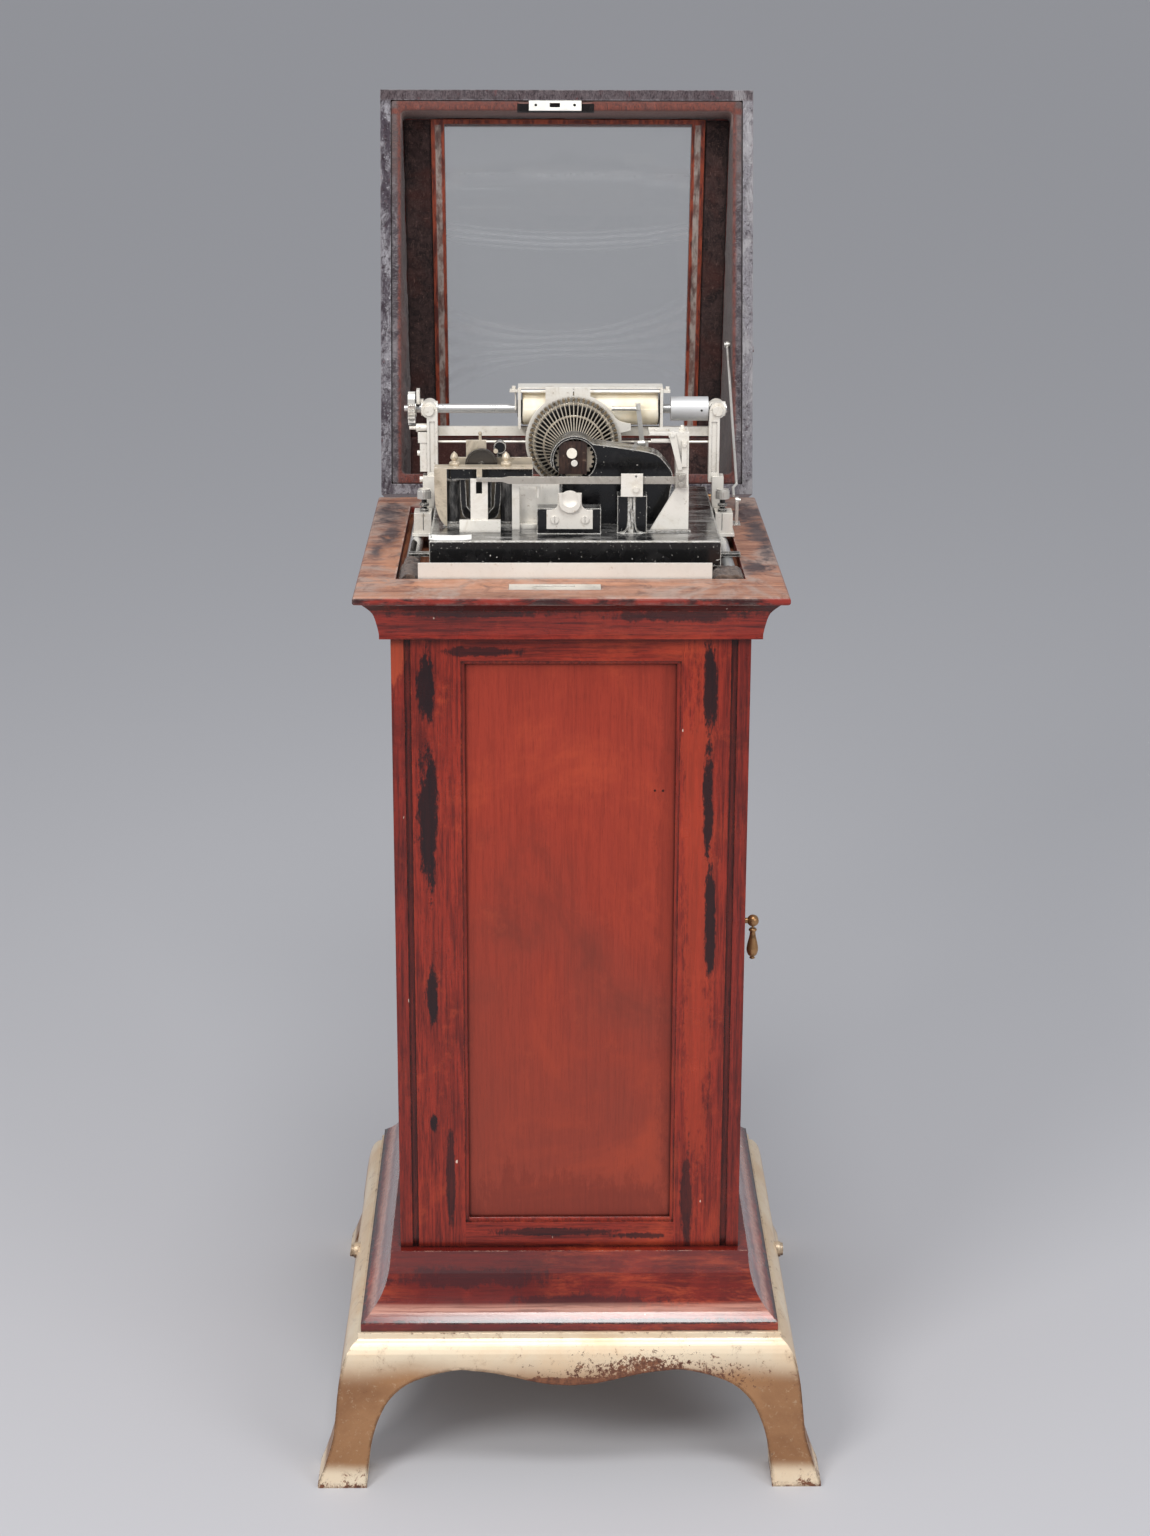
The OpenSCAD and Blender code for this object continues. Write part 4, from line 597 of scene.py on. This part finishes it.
def small_looks(m):
    """Looks of the machine, its fittings, the cloth and the glass."""
    m["nickel"] = metal("nickel", rgb(244, 241, 234), rgb(196, 188, 176), rust=rgb(156, 140, 118))
    m["nickel_dull"] = metal("nickel_dull", rgb(204, 198, 188), rgb(138, 131, 120), (0.32, 0.5),
                             rust=rgb(122, 100, 78))
    lathe = (90, 1400, 1400)
    m["satin"] = metal("satin_steel", rgb(226, 226, 226), rgb(198, 198, 198), (0.42, 0.55), 0.6, lathe,
                       stain=0.3)
    m["steel"] = metal("steel_bright", rgb(236, 236, 234), rgb(196, 196, 194), (0.22, 0.36), 0.75, lathe,
                       stain=0.3)
    m["cream"] = metal("warm_nickel", rgb(254, 249, 239), rgb(206, 194, 174), (0.28, 0.46), 0.36,
                       rust=rgb(160, 138, 108))
    m["stained"] = metal("stained_nickel", rgb(222, 208, 186), rgb(138, 122, 100), (0.3, 0.5), 0.5,
                         rust=rgb(112, 90, 66), stain=0.85)
    m["spokes"] = metal("spoke_metal", rgb(216, 203, 181), rgb(104, 90, 74), (0.26, 0.42), 0.6,
                        rust=rgb(96, 80, 62), stain=0.7)
    m["strip"] = metal("strip_nickel", rgb(226, 221, 212), rgb(204, 196, 182), (0.4, 0.55), 0.2, (60, 60, 1400),
                       rust=rgb(190, 170, 146), stain=0.3)
    m["heads"] = metal("type_metal", rgb(142, 124, 98), rgb(26, 22, 20), (0.34, 0.5), 0.5, rust=rgb(66, 56, 46),
                       stain=0.9)
    m["bowl"] = metal("notch_nickel", rgb(238, 233, 224), rgb(206, 197, 183), (0.46, 0.58), 0.4,
                      rust=rgb(170, 148, 118))
    m["dark"] = metal("dark_steel", rgb(84, 80, 76), rgb(40, 38, 37), (0.3, 0.5), rust=rgb(96, 72, 52),
                      edge_light=rgb(176, 172, 164))
    m["brass"] = metal("old_brass", rgb(176, 134, 92), rgb(98, 70, 48), (0.26, 0.46), rust=rgb(70, 52, 38),
                       edge_light=rgb(226, 196, 150))
    m["japan"] = japan("black_japan", 0.70)
    m["japan_base"] = japan("black_japan_base", 0.685, ribs=True)
    m["japan_clean"] = japan("black_japan_clean", 0.9)
    m["wad"] = felt("wad_felt", rgb(118, 98, 86), rgb(62, 50, 46), rgb(170, 148, 132), 1.2, rgb(84, 66, 58))
    m["dark_felt"] = felt("lid_dark_felt", rgb(80, 60, 58), rgb(36, 28, 29), rgb(152, 116, 106), 0.8,
                          rgb(84, 46, 40))
    m["lining"] = felt("lining_cloth", rgb(94, 76, 75), rgb(42, 32, 33), rgb(150, 112, 102), 0.8,
                       rgb(96, 56, 48), True)
    m["fuzz"] = felt("loose_fuzz", rgb(132, 122, 122), rgb(70, 58, 58), rgb(190, 182, 180), 1.0)

    # cream paper
    k = Look("cream_paper")
    fib = k.noise(300, 6, 0.75)
    wide = k.noise(16, 5, 0.6)
    c = k.fade(wide, 0.42, 0.7, rgb(250, 243, 226), rgb(240, 224, 190))
    c = k.over(c, rgb(226, 208, 172), 0.3, fib, 0.55, 0.7)
    m["paper"] = k.shader(Base_Color=c, Roughness=k.step(fib, 0.3, 0.7, 0.7, 0.9),
                          Normal=k.bump(fib, 0.15, 0.0002))

    k = Look("white_label")
    fib = k.noise(420, 6, 0.75)
    m["label"] = k.shader(Base_Color=k.fade(fib, 0.45, 0.7, rgb(250, 249, 246), rgb(222, 218, 210)),
                          Roughness=k.step(fib, 0.3, 0.7, 0.7, 0.9), Normal=k.bump(fib, 0.2, 0.0001))

    # brown board of the small plate, with its cream disc
    k = Look("brown_board")
    g = k.noise(1.0, 6, 0.7, k.scaled(600, 60, 90))
    s = k.noise(190, 6, 0.75)
    c = k.fade(g, 0.35, 0.65, rgb(66, 46, 38), rgb(36, 25, 23))
    c = k.over(c, rgb(132, 110, 94), 0.6, s, 0.58, 0.68)
    disc = k.step(k.axis("Y"), SHIFT - 0.0503, SHIFT - 0.0507)
    c = k.mix(disc, c, k.fade(s, 0.5, 0.7, rgb(246, 238, 224), rgb(210, 196, 174)))
    m["board"] = k.shader(Base_Color=c, Roughness=k.step(s, 0.3, 0.7, 0.3, 0.5),
                          Normal=k.bump(s, 0.2, 0.0002, k.soft_normal(0.0004)))

    k = Look("platen_rubber")
    g = k.noise(200, 5, 0.6)
    m["rubber"] = k.shader(Base_Color=k.fade(g, 0.4, 0.7, rgb(46, 44, 44), rgb(80, 76, 74)),
                           Roughness=k.step(g, 0.3, 0.7, 0.5, 0.75), Normal=k.bump(g, 0.3, 0.0002))

    # waxed cotton over the coils
    k = Look("coil_cotton")
    w = k.noise(1.0, 5, 0.75, k.scaled(260, 260, 60))
    m["cotton"] = k.shader(Base_Color=k.fade(w, 0.42, 0.66, rgb(26, 25, 26), rgb(104, 102, 100)),
                           Roughness=k.step(w, 0.3, 0.7, 0.3, 0.55), Normal=k.bump(w, 0.4, 0.0002))

    # old glass: flowing streaks where it is uneven, half see-through so that the light reaches the inside
    k = Look("old_glass")
    x, s = k.axis("X"), lid_axes(k)[0]
    drift = k.sub(k.noise(1.0, 3, 0.5, k.scaled(9.0, 3.0, 14.0), 0.3), 0.5)
    x2 = k.mul(x, x)
    flow = k.sub(s, k.add(0.197, k.mul(x, 0.04)))
    flow = k.math("DIVIDE", flow, k.add(0.015, k.mul(x2, 1.55)))
    band = k.sub(s, k.add(0.315, k.mul(x2, 0.5)))
    band = k.math("DIVIDE", k.add(band, k.mul(drift, 0.006)), 0.010)

    def flow_lines(v, count, bend):
        wavy = k.math("FRACT", k.add(k.mul(v, count), k.mul(drift, bend)))
        line = k.step(k.abs(k.sub(wavy, 0.5)), 0.45, 0.05)
        return k.mul(line, k.step(k.abs(v), 1.2, 0.85))

    specks = k.step(k.noise(1.0, 4, 0.7, k.scaled(150, 150, 40)), 0.50, 0.62)
    dust = k.step(k.abs(k.sub(s, k.add(0.388, k.mul(drift, 0.008)))), 0.0028, 0.0006)
    haze_band = k.mul(k.step(s, 0.368, 0.387), k.step(s, 0.392, 0.388))
    streak = k.max(flow_lines(flow, 2.3, 2.2), k.mul(flow_lines(band, 1.4, 0.5), 0.8), k.mul(dust, specks),
                   k.mul(haze_band, 0.3))
    k.shader(Base_Color=k.mix(streak, rgb(250, 252, 250), rgb(225, 228, 230)), Roughness=0.0,
             Transmission_Weight=1.0, IOR=1.45, Normal=k.bump(k.add(drift, k.mul(streak, 0.1)), 0.08, 0.001))
    haze = k.node("BsdfDiffuse", Color=rgb(228, 230, 232))
    thin = k.node("MixShader", 0.5, k.bsdf.outputs[0], k.node("BsdfTransparent").outputs[0])
    veil = k.add(0.02, k.mul(streak, 0.15))
    k.put(k.out.inputs[0], k.node("MixShader", veil, thin.outputs[0], haze.outputs[0]).outputs[0])
    m["glass"] = k.mat


MATS = {}
cabinet_woods(MATS)
small_looks(MATS)

# Looks of the CAD nodes
DRESS = {
    "gilt": "gilded_base",
    "plinth": "plinth_skirt",
    "inside": "bottom_board top_frame",
    "post": "corner_posts",
    "frame": "front_frame back_frame",
    "side_frame": "left_frame door_frame",
    "panel": "front_panel left_panel back_panel door_panel",
    "cornice": "cornice",
    "deck": "deck",
    "lid_wood": "lid_walls lid_top",
    "bead": "lid_bead",
    "glass": "lid_glass",
    "dark_felt": "lid_felt",
    "lining": "lid_lining",
    "brass": "hinge_leaves door_fittings drop_pull lid_knuckles",
    "nickel": "deck_fittings lid_fittings stay_rod left_nut right_nut ratchet_wheel paper_finger "
              "finger_bracket",
    "bowl": "notch_plate",
    "heads": "type_heads",
    "steel": "side_tubes feed_shaft",
    "satin": "spring_drum",
    "nickel_dull": "lever_bar",
    "strip": "front_strip",
    "cream": "rail_blocks side_arms rear_rail carriage carriage_plates type_guide front_brackets right_column",
    "stained": "magnet_plates",
    "spokes": "type_wheel",
    "dark": "small_spring flywheel",
    "japan_base": "machine_base",
    "japan": "black_cover magnets",
    "japan_clean": "wheel_drum",
    "wad": "felt_wads",
    "rubber": "platen",
    "paper": "paper",
    "board": "brown_plate",
}
for look, names in DRESS.items():
    for name in names.split():
        mesh = NODES[name].data
        mesh.materials.clear()
        mesh.materials.append(MATS[look])


# ---- new pieces
def lid_place(p):
    """The other way round from lid(): x, s forward from the hinge and h above the rim, in mm."""
    y, z = p.y - HINGE.y, p.z - HINGE.z
    s = y * math.sin(LEAN) + z * math.cos(LEAN)
    h = y * math.cos(LEAN) - z * math.sin(LEAN)
    return p.x / MM, s / MM, h / MM


def mesh_of(name, verts, faces):
    """A mesh whose faces all look outwards."""
    mesh = bpy.data.meshes.new(name)
    mesh.from_pydata([tuple(v) for v in verts], [], faces)
    bm = bmesh.new()
    bm.from_mesh(mesh)
    bmesh.ops.recalc_face_normals(bm, faces=bm.faces)
    bm.to_mesh(mesh)
    bm.free()
    return mesh


def add_piece(name, mesh, body, look, slot, *stands_for):
    """A smooth piece that rides on a body, in the place of the CAD nodes named last, if any."""
    o = in_scene(name, mesh)
    mesh.materials.clear()
    mesh.materials.append(MATS[look])
    for p in mesh.polygons:
        p.use_smooth = True
    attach(o, body)
    if stands_for:
        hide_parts(*stands_for)
    return o


def remeshed(node, voxel, rounds=2):
    """A node's solids as one fine mesh with softened corners, to be shaped point by point."""
    o = in_scene("work", NODES[node].data.copy())
    bm = bmesh.new()
    bm.from_mesh(o.data)
    bmesh.ops.remove_doubles(bm, verts=bm.verts, dist=1e-6)
    bm.to_mesh(o.data)
    bm.free()
    grid = o.modifiers.new("grid", "REMESH")
    grid.mode = "VOXEL"
    grid.voxel_size = voxel
    calm = o.modifiers.new("calm", "SMOOTH")
    calm.factor = 0.5
    calm.iterations = rounds
    bpy.context.view_layer.update()
    mesh = bpy.data.meshes.new_from_object(o.evaluated_get(bpy.context.evaluated_depsgraph_get()))
    bpy.data.objects.remove(o)
    return mesh


def lumps(p, size, seed=0.0):
    """Smooth noise from about -1 to 1 at a point given in metres; size is in metres too."""
    return noise.fractal(Vector(p) / size + Vector((seed, seed * 1.7, -seed)), 0.9, 2.1, 4)


def ease(v, a, b):
    """0 before a, 1 after b and smooth between them."""
    t = min(1.0, max(0.0, (v - a) / (b - a)))
    return t * t * (3 - 2 * t)


def tube(path, radius, sides):
    """Points and faces of a thin round tube along a path, closed at both ends."""
    verts, faces = [], []
    over = Vector((0.3, 0.2, 0.93)).normalized()
    last = len(path) - 1
    for i, p in enumerate(path):
        ahead = (path[min(i + 1, last)] - path[max(i - 1, 0)]).normalized()
        side = ahead.cross(over)
        side = side.normalized() if side.length > 0.05 else ahead.orthogonal().normalized()
        over = side.cross(ahead)
        for k in range(sides):
            a = 2 * math.pi * k / sides
            verts.append(p + (side * math.cos(a) + over * math.sin(a)) * radius)
    for i in range(last):
        for k in range(sides):
            a, b = i * sides + k, i * sides + (k + 1) % sides
            faces.append((a, b, b + sides, a + sides))
    faces.append(tuple(range(sides - 1, -1, -1)))
    faces.append(tuple(last * sides + k for k in range(sides)))
    return verts, faces


def add_tubes(name, paths, radius, sides, *dress):
    """One piece of thin tubes. What follows is passed on to add_piece."""
    verts, faces = [], []
    for path in paths:
        v, f = tube(path, radius, sides)
        n = len(verts)
        verts += v
        faces += [tuple(n + i for i in face) for face in f]
    add_piece(name, mesh_of(name, verts, faces), *dress)


def slab_faces(nx, ny):
    """Faces of a thin slab: two grids of (nx + 1) by (ny + 1) points, joined along their rims."""
    row, half = nx + 1, (nx + 1) * (ny + 1)
    faces = []
    for j in range(ny):
        for i in range(nx):
            a = j * row + i
            faces.append((a, a + 1, a + row + 1, a + row))
            faces.append((half + a, half + a + row, half + a + row + 1, half + a + 1))
    ring = [i for i in range(row)] + [j * row + nx for j in range(1, ny + 1)]
    ring += [ny * row + i for i in range(nx - 1, -1, -1)] + [j * row for j in range(ny - 1, 0, -1)]
    for a, b in zip(ring, ring[1:] + ring[:1]):
        faces.append((a, b, half + b, half + a))
    return faces


def lining_piece():
    """Cloth over padding, slack and bulging at the lower left, nearly flat at the right for the stay."""
    wall, front = 204.5, 458  # the lid's inner faces, in mm from its middle and its hinge
    mesh = remeshed("lid_lining", 0.0026)
    for v in mesh.vertices:
        x, s, h = lid_place(v.co)
        n = lumps(v.co, 0.030)
        fine = lumps(v.co, 0.006, 3.0)
        free = ease(h, 1.0, 12.0)
        if s < 446:
            inner = ease(wall + 0.1 - abs(x), 1.0, 9.0)
            if x < 0:
                swell = (5.2 * ease(h, 2, 26) * (1 - ease(h, 60, 150))
                         * ease(s, 20, 70) * (1 - ease(s, 180, 330)))
                x += inner * (swell * (0.8 + 0.35 * n) + free * (1.1 * n + 0.5 * fine) + 0.25 * fine)
            else:
                x -= inner * min(0.9, max(-0.8, free * (0.6 * n + 0.4 * fine)))
        else:
            s -= ease(front - s, 1.0, 9.0) * min(1.0, max(-1.0, 0.9 * n + 0.4 * fine)) * free
        if h < 2.5:
            h += 0.35 + 0.35 * fine
        v.co = lid(max(-wall, min(wall, x)), min(front - 0.2, s), max(0.15, h))
    o = add_piece("lining_cloth", mesh, "lid", "lining", "worn_cloth", "lid_lining")


def felt_strip(name, x0, x1, s0, s1, seed, replaces=()):
    """Felt glued under the sloping frame, a little wavy, with thin worn edges."""
    cell = 3  # mm
    nx, ns = max(4, int((x1 - x0) / cell)), max(4, int((s1 - s0) / cell))
    verts = []
    for top in (True, False):
        for j in range(ns + 1):
            s = s0 + (s1 - s0) * j / ns
            for i in range(nx + 1):
                x = x0 + (x1 - x0) * i / nx
                rim = min(x - x0, x1 - x, s - s0, s1 - s)
                p = lid(x, s, lid_roof(s))
                thick = 0.35 + 1.4 * ease(rim, 0.0, 3.0) + 0.25 * lumps(p, 0.02, seed) * ease(rim, 0, 4)
                verts.append(lid(x, s, lid_roof(s) - (0.03 if top else min(1.95, thick))))
    o = add_piece(name, mesh_of(name, verts, slab_faces(nx, ns)), "lid", "dark_felt", "dark_felt", *replaces)


def wad_pieces():
    """Two rolled wads of felt, matted and uneven."""
    mesh = remeshed("felt_wads", 0.0014, 4)
    for v, n in zip(mesh.vertices, [v.normal.copy() for v in mesh.vertices]):
        wide, fine = lumps(v.co, 0.012, 1.0), lumps(v.co, 0.0035, 5.0)
        v.co += n * (-0.9 + 1.1 * wide + 0.55 * fine) * MM
    o = add_piece("felt_rolls", mesh, "cabinet", "wad", "brown_felt", "felt_wads")
    return mesh


FIBRE = 0.11 * MM  # radius
STEPS = (0, 0.25, 0.5, 0.75, 1)


def fuzz_on_wads(mesh):
    """Loose fibres that stand off the wads."""
    rnd = random.Random(11)
    paths = []
    for _ in range(420):
        v = mesh.vertices[rnd.randrange(len(mesh.vertices))]
        if v.normal.z < -0.3:
            continue
        along = Vector((rnd.uniform(-1, 1), rnd.uniform(-1, 1), rnd.uniform(-0.2, 0.6)))
        reach = rnd.uniform(2.0, 5.5) * MM
        a = v.co + v.normal * -0.2 * MM
        b = v.co + v.normal * rnd.uniform(0.5, 1.3) * MM + along * reach * 0.4
        c = v.co + v.normal * rnd.uniform(0.0, 1.5) * MM + along * reach
        paths.append([a.lerp(b, t).lerp(b.lerp(c, t), t) for t in STEPS])
    add_tubes("wad_fibres", paths, FIBRE, 3, "cabinet", "fuzz", "brown_felt")


def fuzz_on_rims():
    """Loose fibres along the worn rim of the lining."""
    rnd = random.Random(5)
    paths = []
    for _ in range(520):
        side = -1 if rnd.random() < 0.55 else 1
        s = rnd.uniform(18, 440)
        x = side * (198.6 + rnd.uniform(-5.5, 5.0))
        h = 0.5
        if abs(x) < 194.5:
            h = rnd.uniform(0.5, 9.0)
            x = side * 192.4
        lean = -side * rnd.uniform(0.4, 1.0), rnd.uniform(-1.0, 1.0), rnd.uniform(0.05, 0.5)
        length = rnd.uniform(1.8, 5.5) if side < 0 else rnd.uniform(0.8, 2.0)
        path = []
        for t in STEPS:
            rise = (lean[2] * t - (0.35 * t * (1 - t) if h > 1 else 0.0)) * length
            path.append(lid(x + lean[0] * length * t * (1 - 0.5 * t), s + lean[1] * length * t,
                            h + max(0, rise)))
        paths.append(path)
    add_tubes("lining_fibres", paths, FIBRE, 3, "lid", "fuzz", "worn_cloth")


def spring_piece():
    """The small dark spring beside the machine."""
    turns, per_turn, pitch, radius, wire = 8, 28, 5, 2.6, 0.6
    path = []
    for i in range(turns * per_turn + 1):
        a = 2 * math.pi * i / per_turn
        path.append(machine(-171.8 + radius * math.sin(a), -57 + i * pitch / per_turn,
                            4.9 + radius * math.cos(a)))
    add_tubes("spring_coil", [path], wire * MM, 10, "cabinet", "dark", "dark_steel", "small_spring")


def paper_piece():
    """Paper rolled once round the platen, with its lap at the back and slightly uneven ends."""
    turns, rows, cols = 1.14, 110, 48
    left, width, radius, thick = -55.3, 147.6, 17.50, 0.12
    axle_y, axle_z, start = 75, 133.9, -2.3
    verts = []
    for inner in (0, thick):
        for i in range(rows + 1):
            t = i / rows * turns
            a = 2 * math.pi * t + start
            for j in range(cols + 1):
                u = j / cols
                lift = 0.12 * (1 + math.sin(2 * math.pi * 3 * u + 5 * a) * math.sin(9 * u + a))
                end = 0.25 * math.sin(4 * a) * (1 - 2 * u) ** 9
                r = radius + 0.22 * t + 0.06 * lift - inner
                verts.append(machine(left + width * u + end, axle_y + r * math.sin(a),
                                     axle_z + r * math.cos(a)))
    add_piece("paper_sleeve", mesh_of("paper_sleeve", verts, slab_faces(cols, rows)), "platen_body", "paper",
              "cream_paper", "paper")


def coil_windings():
    """Cotton-covered wire wound on the two bobbins, turn beside turn."""
    turns, per_turn, radius, wire = 68, 18, 7.9, 0.31
    low, height = 36.4, 43.2
    paths = []
    for middle in (-129, -70.5):
        path = []
        for i in range(turns * per_turn + 1):
            a = 2 * math.pi * i / per_turn
            path.append(machine(middle + radius * math.cos(a), -50 + radius * math.sin(a),
                                low + height * i / (turns * per_turn)))
        paths.append(path)
    add_tubes("coil_windings", paths, wire * MM, 5, "cabinet", "cotton", "black_japan")


def blank_tag():
    """A blank paper tag stuck on the base, its corners lifting."""
    a, b, c, d = (-147.8, -102.6), (-103.0, -104.2), (-102.5, -127.6), (-147.0, -127.6)
    nx, ny, thick, base_top = 24, 12, 0.18, DECK + 0.032
    tree = BVHTree.FromObject(NODES["machine_base"], bpy.context.evaluated_depsgraph_get())
    tops = []
    for j in range(ny + 1):
        for i in range(nx + 1):
            u, w = i / nx, j / ny
            x, y = ((a[n] * (1 - u) + b[n] * u) * (1 - w) + (d[n] * (1 - u) + c[n] * u) * w for n in (0, 1))
            x, y = x * MM, y * MM + SHIFT
            hit = tree.ray_cast(Vector((x, y, DECK + 0.2)), Vector((0, 0, -1)))[0]
            corner = max(0.0, abs(2 * u - 1) + abs(2 * w - 1) - 1.35)
            lift = 0.25 + 2.2 * corner ** 2 + 0.05 * math.sin(7 * u + 3 * w)
            tops.append(Vector((x, y, (hit.z if hit else base_top) + lift * MM)))
    verts = tops + [v - Vector((0, 0, thick * MM)) for v in tops]
    add_piece("blank_tag", mesh_of("blank_tag", verts, slab_faces(nx, ny)), "cabinet", "label", "cream_paper")


lining_piece()
felt_strip("felt_left", -192.4, -160.4, 87.5, 445.5, 2.0)
felt_strip("felt_right", 164.4, 192.4, 87.5, 445.5, 4.0)
felt_strip("felt_back", -192.4, 192.4, 26.4, 86.5, 6.0, ("lid_felt",))
fuzz_on_wads(wad_pieces())
fuzz_on_rims()
spring_piece()
paper_piece()
coil_windings()
blank_tag()


# ---- light and floor
def add_light(name, place, aim, size, power, tint=(1, 1, 1)):
    """A round lamp that lights the scene but isn't seen."""
    data = bpy.data.lights.new(name, "AREA")
    data.shape = "DISK"
    data.size = size
    data.energy = power
    data.color = tint
    o = in_scene(name, data)
    o.location = place
    o.rotation_euler = (Vector(aim) - Vector(place)).to_track_quat("-Z", "Y").to_euler()
    o.visible_camera = False


def add_floor():
    """A wide round floor in rings, out to the horizon."""
    corners, radii = 64, (1.0, 4.0, 16.0, 80.0)
    mesh = bpy.data.meshes.new("floor")
    bm = bmesh.new()
    turns = [2 * math.pi * i / corners for i in range(corners)]
    rings = [[bm.verts.new((r * math.cos(a), r * math.sin(a), 0)) for a in turns] for r in radii]
    bm.faces.new(rings[0])
    for near, far in zip(rings, rings[1:]):
        for i in range(corners):
            n = (i + 1) % corners
            bm.faces.new((near[i], far[i], far[n], near[n]))
    bm.normal_update()
    bm.to_mesh(mesh)
    bm.free()
    o = in_scene("floor", mesh)
    for p in mesh.polygons:
        p.use_smooth = True
    mesh.materials.append(Look("floor_paper").shader(Base_Color=rgb(198, 198, 202), Roughness=0.9))


def add_world():
    """Soft light from all sides."""
    world = bpy.data.worlds.new("studio")
    bpy.context.scene.world = world
    tree = Tree(world)
    light = tree.nt.nodes["Background"]
    tree.put(light.inputs["Color"], rgb(232, 234, 238))
    tree.put(light.inputs["Strength"], 0.62)
    # what the camera, the metals and the glass see beyond the floor is as grey as the far floor
    seen = tree.node("Background", rgb(146, 147, 152))
    rays = tree.node("LightPath").outputs
    mask = tree.max(rays["Is Camera Ray"], rays["Is Glossy Ray"], rays["Is Transmission Ray"])
    both = tree.node("MixShader", mask, light.outputs[0], seen.outputs[0])
    tree.put(tree.nt.nodes["World Output"].inputs[0], both.outputs[0])


add_floor()
add_world()
add_light("key", (-1.7, -2.6, 2.9), (0, 0, 0.85), 1.3, 58, (1.0, 0.985, 0.96))
add_light("fill", (2.1, -2.4, 2.1), (0, 0, 0.8), 1.6, 24)
add_light("top", (0.1, -1.4, 3.4), (0, 0, 0.5), 0.9, 32)
bpy.context.scene.view_settings.view_transform = "Standard"
